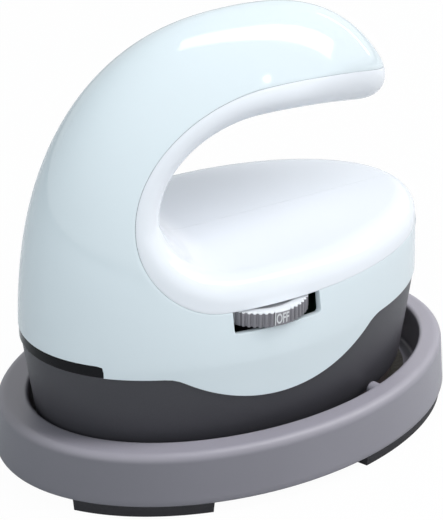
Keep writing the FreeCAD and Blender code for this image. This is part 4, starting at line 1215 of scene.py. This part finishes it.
    def shell(self, side: Side) -> Piece:
        """One blue side shell with its wall and rounded edges.

        Args:
            side: the half that it covers.

        Returns:
            The shell.
        """
        way, word, hand = side.value
        seam = self.seam_line(self.groove)
        x0, x1 = self.slot_x - self.slot_half_length, self.slot_x + self.slot_half_length
        first, last = (int(np.flatnonzero(seam[:, 0] <= x)[0]) for x in (x1, x0))
        notch = self.slot_line(seam[first], seam[last], side is Side.DIAL)
        back, crest = int(np.argmin(seam[:, 0])), int(np.argmax(seam[:, 2]))
        height = np.where(seam[:, 0] > self.knee[0], np.inf, np.abs(seam[:, 2] - self.knee[1]))
        knee = int(np.argmin(height))
        rest = split(seam, [last, knee, back, (back + crest) // 2, crest, len(seam) - 1])
        inner = spliced([seam[: first + 1], *notch, *rest], self.shell_steps)
        outer = self.border(seam[-1, 2], x0, x1)
        even = np.linspace(0, 1, self.shell_rows)
        across = (np.sin(even * math.pi / 2) + even) / 2
        net = inner[:, None] + (outer - inner)[:, None] * across[None, :, None]
        net = self.form.onto_face(net)
        net[:, 0], net[:, -1] = inner, outer
        net[:, 1:] = self.form.roll_tip(net[:, 1:])
        net[..., 1] = (np.maximum(net[..., 1], 0) + self.shell_parting) * way
        piece = grid(f"side_shell_{word}", net)
        self.thicken(piece, net, self.wall)
        self.drill_inlet(piece)
        return finish(piece, Slot.SHELL, "press", f"side_shell_{hand}", angle=35)

    def thicken(self, piece: Piece, net: Rows, wall: float) -> None:
        """Turns an open face outwards, gives it its wall and rounds its free rims.

        Args:
            piece: the open face.
            net: the net that it was drawn out to.
            wall: its thickness, inwards.
        """
        spot = net[net.shape[0] // 4, 2]
        face = min(piece.data.polygons, key=lambda f: (f.center / MM - Vector(spot)).length)
        if face.normal.dot(Vector(spot - self.form.core)) < 0:
            with editing(piece, True):
                bpy.ops.mesh.flip_normals()
        modify(piece, "SOLIDIFY", thickness=wall * MM, offset=-1.0, use_even_offset=False)
        pick_rims(piece, lambda spot: abs(spot.y) > self.sharp_within)
        with editing(piece):
            bpy.ops.mesh.bevel(
                offset=self.edge_round * MM, segments=2, affect="EDGES", clamp_overlap=True
            )

    def parted(self, line: Rows, profile: GripProfile) -> Rows:
        """A line round the grip in even steps from heel to knee, back, crest and tip.

        Args:
            line: the line on the +Y face.
            profile: the outline that it follows.

        Returns:
            Places, as many for each outline.
        """
        knee_x = profile.back + profile.corner
        away = np.abs(line[:, 0] - knee_x) + np.abs(line[:, 2] - profile.bottom)
        marks = (np.argmin(away), np.argmin(line[:, 0]), np.argmax(line[:, 2]), len(line) - 1)
        return spliced(split(line, [0, *map(int, marks)]), self.liner_steps)

    def liner(self, side: Side) -> Piece:
        """One white half of the grip's liner: its wall, rolled lip and crowned face.

        Args:
            side: the half that it covers.

        Returns:
            The liner.
        """
        form, (way, word, hand) = self.form, side.value
        outer = self.parted(self.seam_line(-self.groove), form.seam)
        rim = self.parted(form.side_line(form.opening.points(0.0)[0]), form.opening)
        middle = rim.copy()
        middle[:, 1] = 0.0
        first, last = self.liner_steps[0], len(rim) - 1 - self.liner_steps[3]
        for part, still, end in ((slice(first + 1), first, 0), (slice(last, None), last, -1)):
            x = rim[part, 0]
            share = (x - rim[still, 0]) / (rim[end, 0] - rim[still, 0])
            middle[part, 0] = x - self.pull * share
        middle[last:, 2] = np.interp(middle[last:, 0], rim[last:, 0], rim[last:, 2])
        down = np.linspace(0, 1, self.flank_rows)[None, :-1, None]
        flank = form.onto_face(outer[:, None] + (rim - outer)[:, None] * down)
        flank[:, 0] = outer
        flank[0, :, 1] = flank[-1, :, 1] = 0.0
        over = np.linspace(0, 1, self.bore_rows)[None, :, None] ** 1.25
        net = np.concatenate([flank, rim[:, None] + (middle - rim)[:, None] * over], axis=1)
        net = form.settle(net)
        net[:, 0] = outer
        net[:, -1, 1] = 0.0
        net[..., 1] = (net[..., 1] + self.parting) * way
        piece = grid(f"grip_liner_{word}_side", net)
        self.thicken(piece, net, self.wall)
        return finish(piece, Slot.LINER, "press", f"grip_liner_{hand}", angle=35)

    def drill_inlet(self, piece: Piece) -> None:
        """Cuts a shell's half of the hole for the inlet in the heel.

        Args:
            piece: the shell.
        """
        drill = rod("inlet_drill", self.inlet_radius, self.inlet_depth, self.inlet_sides)
        heel = self.form.press_x + self.form.half_length
        drill.location = (heel * MM, 0, self.inlet_z * MM)
        modify(piece, "BOOLEAN", operation="DIFFERENCE", solver="EXACT", object=drill)
        take(drill)
        bpy.ops.object.delete()

    def window(self) -> Piece:
        """Smoked strip round the nose, set just below the shells' face.

        Returns:
            The window.
        """
        form, r = self.form, self.window_round
        half = self.window_half_width - self.window_gap
        edge = math.asin(half / form.half_width)
        turn = np.linspace(math.pi - edge, math.pi + edge, 121)[:, None]
        along = np.linspace(0, 1, 121)[:, None]
        reach = np.minimum(along, 1 - along) * 2 * half
        sink = r - arch(r, np.clip(r - reach, 0, r))
        low = self.nose_edge + self.window_lift
        top = self.window_top - self.window_gap - sink
        z = low + (top - low) * np.linspace(0, 1, 9)
        a, b = form.half_length - self.window_sink, form.half_width - self.window_sink
        x, y = form.press_x + a * np.cos(turn), b * np.sin(turn)
        net = np.stack(np.broadcast_arrays(x, y, z), -1)
        piece = grid("status_window", net)
        self.thicken(piece, net, self.window_wall)
        return finish(piece, Slot.WINDOW, "press", "indicator_window", angle=35)

    def skirt_ring(self, z: float, inset: float) -> Ring:
        """The skirt's oval at a height, moved in.

        Args:
            z: its height.
            inset: how far it is moved in.

        Returns:
            The oval.
        """
        form = self.form
        drop = (form.waist - min(z, form.waist)) / (form.waist - self.skirt_bottom)
        return Ring(
            form.half_length - self.skirt_inset - self.skirt_lean[0] * drop - inset,
            form.half_width - self.skirt_inset - self.skirt_lean[1] * drop - inset,
            z,
            form.press_x,
        )

    def skirt(self) -> Piece:
        """Dark skirt with its rounded foot, its deck and the tongue inside the shells.

        Returns:
            The skirt.
        """
        form, low, wall, r = self.form, self.skirt_bottom, self.skirt_wall, self.skirt_round
        waist, deck, tip = form.waist, self.deck_z, form.waist + self.tongue
        foot, (outer, inner), e = self.inner_round, self.tongue_inset, self.tongue_round
        start, upper = low + self.skirt_straight, deck + self.deck_thickness
        steps = [(deck, self.deck_inset), (deck, wall + 1.0), (deck, wall)]
        steps += [(z, wall) for z in (*self.inner_levels, low + foot)]
        steps += [(low, wall - foot), (low, r + foot)]
        steps += [(low + r + b, r + a) for a, b in arc(r, 270, 180, 5)]
        steps += [(float(z), 0.0) for z in np.linspace(start, waist, 14)]
        steps += [(waist + 0.02, 0.9), (waist + 0.04, outer), (tip, outer + e), (tip, inner - e)]
        steps += [(waist, inner), (upper, inner), (upper, self.deck_inset)]
        piece = loft("press_skirt", [self.skirt_ring(z, inset) for z, inset in steps], 256)
        spots = places(piece)
        x, z = spots[:, 0] - form.press_x, spots[:, 2].copy()
        edge = self.edge_level(spots[:, 0]) - self.seam_shadow / 2
        share = np.clip((z - start) / (waist - start), 0, 1)
        moved = start + share * (edge - start) + np.maximum(z - waist, 0)
        span = np.hypot(x / form.half_length, spots[:, 1] / form.half_width)
        flank = (z > start) & (span > 0.955 - 0.055 * (waist - z) / (waist - low))
        spots[:, 2] = np.where(flank | (z >= waist - 1e-3), moved, z)
        before, after = (np.clip((v - low) / (waist - low), 0, 1) for v in (z, spots[:, 2]))
        climb = after - before
        spots[:, 0] = form.press_x + x * (1 + climb * self.skirt_lean[0] / form.half_length)
        spots[:, 1] *= 1 + climb * self.skirt_lean[1] / form.half_width
        move(piece, spots)
        return finish(piece, Slot.SKIRT, "press", "skirt_housing", angle=40)

    def build(self) -> None:
        """Makes the casing, piece by piece."""
        self.skirt()
        self.window()
        for side in Side:
            self.liner(side)
            self.shell(side)


# ---------- dial
@dataclass
class Dial:
    """Fluted wheel with a dished top, smooth patches and their marks."""

    x: float = -5.0
    y: float = -26.0
    low: float = 49.4
    thickness: float = 4.25
    radius: float = 13.3
    turn: float = -92.4          # the first patch's middle, in degrees
    teeth: int = 54
    tooth_depth: float = 0.55
    tooth_reach: float = 1.2     # how far in the flutes run on the wheel's faces
    flute: tuple[float, float] = (1.25, 0.35)      # how steep the flutes are, and how wide
    steps: int = 6
    patch_teeth: int = 3
    rim: float = 3.0
    recess: float = 0.3
    hub: float = 5.0
    bore: float = 3.0
    edge: float = 0.2
    per_tooth: int = 8
    marks: tuple[str, ...] = ("OFF", "1", "2", "3")
    digit: tuple[float, float] = (1.5, 3.0)        # width and height
    word: tuple[float, float] = (3.7, 3.0)
    line: tuple[float, float] = (0.28, 3.7)
    line_shift: float = -2.15
    relief: tuple[float, float] = (0.05, -0.15)    # a mark's face and foot, out from the patch
    bold: float = 0.022          # how much its strokes are widened

    @property
    def patch_depth(self) -> float:
        """How far the smooth patches lie below the wheel's radius."""
        return self.tooth_depth / 3

    def profile(self, angle: Rows) -> Rows:
        """Depth of the fluted face below the wheel's radius, at angles in degrees.

        Args:
            angle: angles round the wheel.

        Returns:
            One depth for each.
        """
        place = ((angle - self.turn) * self.teeth / 360 + self.patch_teeth / 2) % self.teeth
        steep, wide = self.flute
        flute = self.tooth_depth * np.clip(steep * np.cos(2 * np.pi * place) + wide, 0, 1)
        patch = (place % (self.teeth / self.steps)) < self.patch_teeth
        return np.where(patch, self.patch_depth, flute)

    def wheel(self) -> Piece:
        """The wheel: rings drawn up, over the rim and into the dish.

        Returns:
            The wheel.
        """
        r, low, top, e = self.radius, self.low, self.low + self.thickness, self.edge
        inner, hub, dish = r - self.rim, self.hub, top - self.recess
        # The dish's and the hub's edges are eased by up to 0.4 mm.
        points = [
            (self.bore, low), (hub + 3, low), (r - self.tooth_reach, low), (r - e, low),
            (r - e * 0.3, low + e * 0.3), (r, low + e), (r, low + self.thickness / 2),
            (r, top - e), (r - e * 0.3, top - e * 0.3), (r - e, top),
            (r - self.tooth_reach, top), (inner + 0.3, top), (inner, top - 0.08),
            (inner - 0.15, dish + 0.06), (inner - 0.4, dish), (hub + 0.3, dish),
            (hub, dish + 0.06), (hub - 0.1, top - 0.05), (hub - 0.3, top), (self.bore, top),
        ]
        rings = [Ring(half, half, z, self.x, self.y) for half, z in points]
        wheel = loft("temperature_dial", rings, self.teeth * self.per_tooth)
        spots = places(wheel)
        centre = np.array((self.x, self.y))
        out = spots[:, :2] - centre
        far = np.hypot(*out.T)
        share = np.clip((far - r + self.tooth_reach) / (self.tooth_reach - e), 0, 1)
        depth = self.profile(np.degrees(np.arctan2(out[:, 1], out[:, 0]))) * share
        spots[:, :2] = centre + out * ((far - depth) / far)[:, None]
        move(wheel, spots)
        return finish(wheel, Slot.DIAL, "dial", "dial_wheel", angle=32)

    def mark(self, text: str, number: int, size: tuple[float, float], shift: float) -> Piece:
        """A raised mark on a smooth patch.

        Args:
            text: what it says.
            number: how many steps round from the first patch.
            size: its width and height.
            shift: of its middle off the patch's middle.

        Returns:
            The mark's mesh, wrapped on the wheel.
        """
        let_go()
        bpy.ops.object.text_add()
        label = bpy.context.object.data
        label.body, label.size, label.extrude, label.offset = text, 1.0, 0.5, self.bold
        label.align_x = label.align_y = "CENTER"
        label.resolution_u = 6
        bpy.ops.object.convert(target="MESH")
        piece = named(f"dial_mark_line_{number}" if text == "|" else f"dial_mark_{text.lower()}")
        spots = places(piece) * MM
        low, high = spots.min(0), spots.max(0)
        across, up, _ = ((spots - (low + high) / 2) / (high - low)).T
        face = self.radius - self.patch_depth
        out = face + np.where(spots[:, 2] > 0, *self.relief)
        turn = math.radians(self.turn - number * 360 / self.steps)
        turn = turn + (across * size[0] + shift) / face
        z = self.low + self.thickness / 2 + up * size[1]
        move(piece, np.c_[self.x + out * np.cos(turn), self.y + out * np.sin(turn), z])
        with editing(piece, True):
            bpy.ops.mesh.remove_doubles(threshold=1e-6)
            bpy.ops.mesh.normals_make_consistent(inside=False)
        return finish(piece, Slot.MARK, "dial")

    def build(self) -> None:
        """Makes the wheel and its marks."""
        self.wheel()
        for number, text in enumerate(self.marks):
            self.mark(text, number, self.word if len(text) > 1 else self.digit, 0.0)
            self.mark("|", number, self.line, self.line_shift)


# ---------- carried pieces
@dataclass
class Works:
    """The pieces that keep their own form and get their finish here."""

    finishes: tuple[tuple[Slot, str], ...] = (
        (Slot.MAT, "base_mat"),
        (Slot.SILICONE, "rest_posts"),
        (Slot.FOOT, "foot_nose_left foot_nose_right foot_heel_left foot_heel_right"),
        (Slot.SCREW, "foot_screws clamp_screws plate_screws shell_screws board_screws"),
        (Slot.SOLE, "heat_plate"),
        (Slot.ELEMENT, "heating_element"),
        (Slot.CLAMP, "element_clamp thermostat heat_shield"),
        (Slot.FUSE, "thermal_fuse"),
        (Slot.FELT, "insulation_pad"),
        (Slot.CERAMIC, "insulating_spacers terminal_block"),
        (Slot.INLET, "cord_inlet"),
        (Slot.COMPONENT, "rotary_switch board_parts dial_shaft"),
        (Slot.BOARD, "control_board lamp_board"),
        (Slot.LENS, "indicator_lamps"),
        (Slot.LEAD, "mains_leads element_leads"),
    )

    def build(self) -> None:
        """Dresses each carried node."""
        for slot, names in self.finishes:
            for name in names.split():
                slot.dress(frame["nodes"][name])
                log.info("%s: carried, %s", name, slot.value.name)


# ---------- studio
@dataclass(frozen=True)
class Lamp:
    """A rectangular soft lamp that looks at the press. Metres and watts."""

    name: str
    way: Triple
    along: Triple
    size: tuple[float, float]
    power: float
    distance: float
    mirrored: bool = True        # whether glossy faces show it
    tint: Colour = (1.0, 1.0, 1.0)
    only: str = ""               # part of the names of the pieces it lights, all if empty
    aim: Triple = (0.0, 0.0, 0.08)

    def hang(self) -> None:
        """Puts the lamp up."""
        data = bpy.data.lights.new(self.name, "AREA")
        data.shape = "RECTANGLE"
        data.size, data.size_y = self.size
        data.energy, data.color = self.power, self.tint
        lamp = bpy.data.objects.new(self.name, data)
        bpy.context.scene.collection.objects.link(lamp)
        lamp.visible_glossy = self.mirrored
        if self.only:
            lit = bpy.data.collections.new(f"lit_by_{self.name}")
            for piece in [o for o in bpy.data.objects if self.only in o.name]:
                lit.objects.link(piece)
            lamp.light_linking.receiver_collection = lit
        back, along = Vector(self.way).normalized(), Vector(self.along)
        side = (along - back * along.dot(back)).normalized()
        turn = Matrix((side, back.cross(side), back)).transposed().to_4x4()
        lamp.matrix_world = Matrix.Translation(Vector(self.aim) + back * self.distance) @ turn


@dataclass
class Studio:
    """Pale floor, soft lamps, plain sky and the camera."""

    camera_place: Triple = (-0.25922, -0.44020, 0.32105)
    camera_turn: Triple = (61.96, 0.0, -30.39)
    lens: float = 146.2
    sensor: float = 36.0
    clip: float = 0.01
    sky: float = 0.28
    sky_colour: Colour = (0.82, 0.94, 1.0)
    floor_size: float = 8.0
    floor_shade: Colour = (0.3, 0.3, 0.306)        # share of its light the floor gives back
    floor_tone: Colour = (0.9, 0.9, 0.91)          # and what the eye sees of that
    floor_white: float = 0.97    # share of plain white that the eye sees
    lamps: tuple[Lamp, ...] = (
        Lamp("strip", (0.53, -0.315, 0.79), (0.76, -0.06, -0.59), (0.86, 0.18), 2.2, 0.8),
        Lamp("far_side", (0.40, 0.72, 0.62), (0.87, -0.49, 0.0), (1.5, 0.7), 3.9, 1.5, False),
        Lamp("right_edge", (0.93, 0.20, 0.31), (0.15, -0.08, -0.42), (0.42, 0.05), 0.3, 0.9),
        Lamp(
            "left_fill", (-0.72, -0.50, 0.50), (0.57, -0.82, 0.0), (1.0, 1.0), 7.2, 1.2, False,
            (0.93, 0.98, 1.0),
        ),
        Lamp("front_fill", (0.42, -0.72, 0.50), (0.86, 0.50, 0.0), (1.0, 1.0), 4.0, 1.2, False),
        Lamp("right_fill", (0.85, -0.25, 0.50), (0.28, 0.96, 0.0), (1.0, 1.0), 3.0, 1.2, False),
        Lamp(
            "tray_key", (0.36, -0.24, 0.90), (0.9, 0.0, -0.44), (0.35, 0.35), 23.0, 1.2, False,
            only="tray",
        ),
        Lamp(
            "table_bounce", (0.85, -0.40, 0.06), (0.42, 0.90, 0.0), (0.8, 0.1), 1.7, 1.2, False,
            only="grip_liner",
        ),
        Lamp("spark", (0.408, -0.565, 0.446), (1.0, 0.0, 0.0), (0.014, 0.014), 0.07, 0.83),
    )

    def camera(self) -> None:
        """Sets the camera."""
        data = bpy.data.cameras.new("camera")
        data.lens, data.sensor_width, data.clip_start = self.lens, self.sensor, self.clip
        camera = bpy.data.objects.new("camera", data)
        bpy.context.scene.collection.objects.link(camera)
        camera.location = self.camera_place
        camera.rotation_euler = [math.radians(v) for v in self.camera_turn]
        bpy.context.scene.camera = camera

    def heaven(self) -> None:
        """Even sky, white to the eye and in gloss."""
        world = bpy.data.worlds.new("sky")
        bpy.context.scene.world = world
        world.use_nodes = True
        sheet, nodes = NodeSheet(world.node_tree), world.node_tree.nodes
        plain = nodes["Background"]
        sheet.put(plain.inputs["Color"], self.sky_colour)
        sheet.put(plain.inputs["Strength"], self.sky)
        white = sheet.add("Background", (1.0, 1.0, 1.0))
        both = sheet.add("MixShader", sheet.seen(1.0), plain, white)
        sheet.put(nodes["World Output"].inputs["Surface"], both)

    def floor(self) -> None:
        """Pale floor that is white to the eye and still takes the shadow."""
        let_go()
        bpy.ops.mesh.primitive_plane_add(size=self.floor_size)
        floor = named("studio_floor")
        paper = bpy.data.materials.new("studio_paper")
        paper.use_nodes = True
        paper.node_tree.nodes.clear()
        sheet = NodeSheet(paper.node_tree)
        tone = sheet.mix(sheet.seen(1.0), self.floor_shade, self.floor_tone)
        matt, glow = sheet.add("BsdfDiffuse", tone), sheet.add("Emission")
        both = sheet.add("MixShader", sheet.seen(self.floor_white, False), matt, glow)
        sheet.add("OutputMaterial", both)
        floor.data.materials.append(paper)

    def build(self) -> None:
        """Sets up camera, floor, sky and lamps."""
        bpy.context.scene.view_settings.view_transform = "Standard"
        self.camera()
        self.heaven()
        self.floor()
        for lamp in self.lamps:
            lamp.hang()


def main() -> None:
    """Builds the press in its tray, then the studio round it."""
    for builder in (RestTray(), Casing(), Dial(), Works(), Studio()):
        log.info("%s", type(builder).__name__)
        builder.build()


if __name__ == "__main__":
    main()
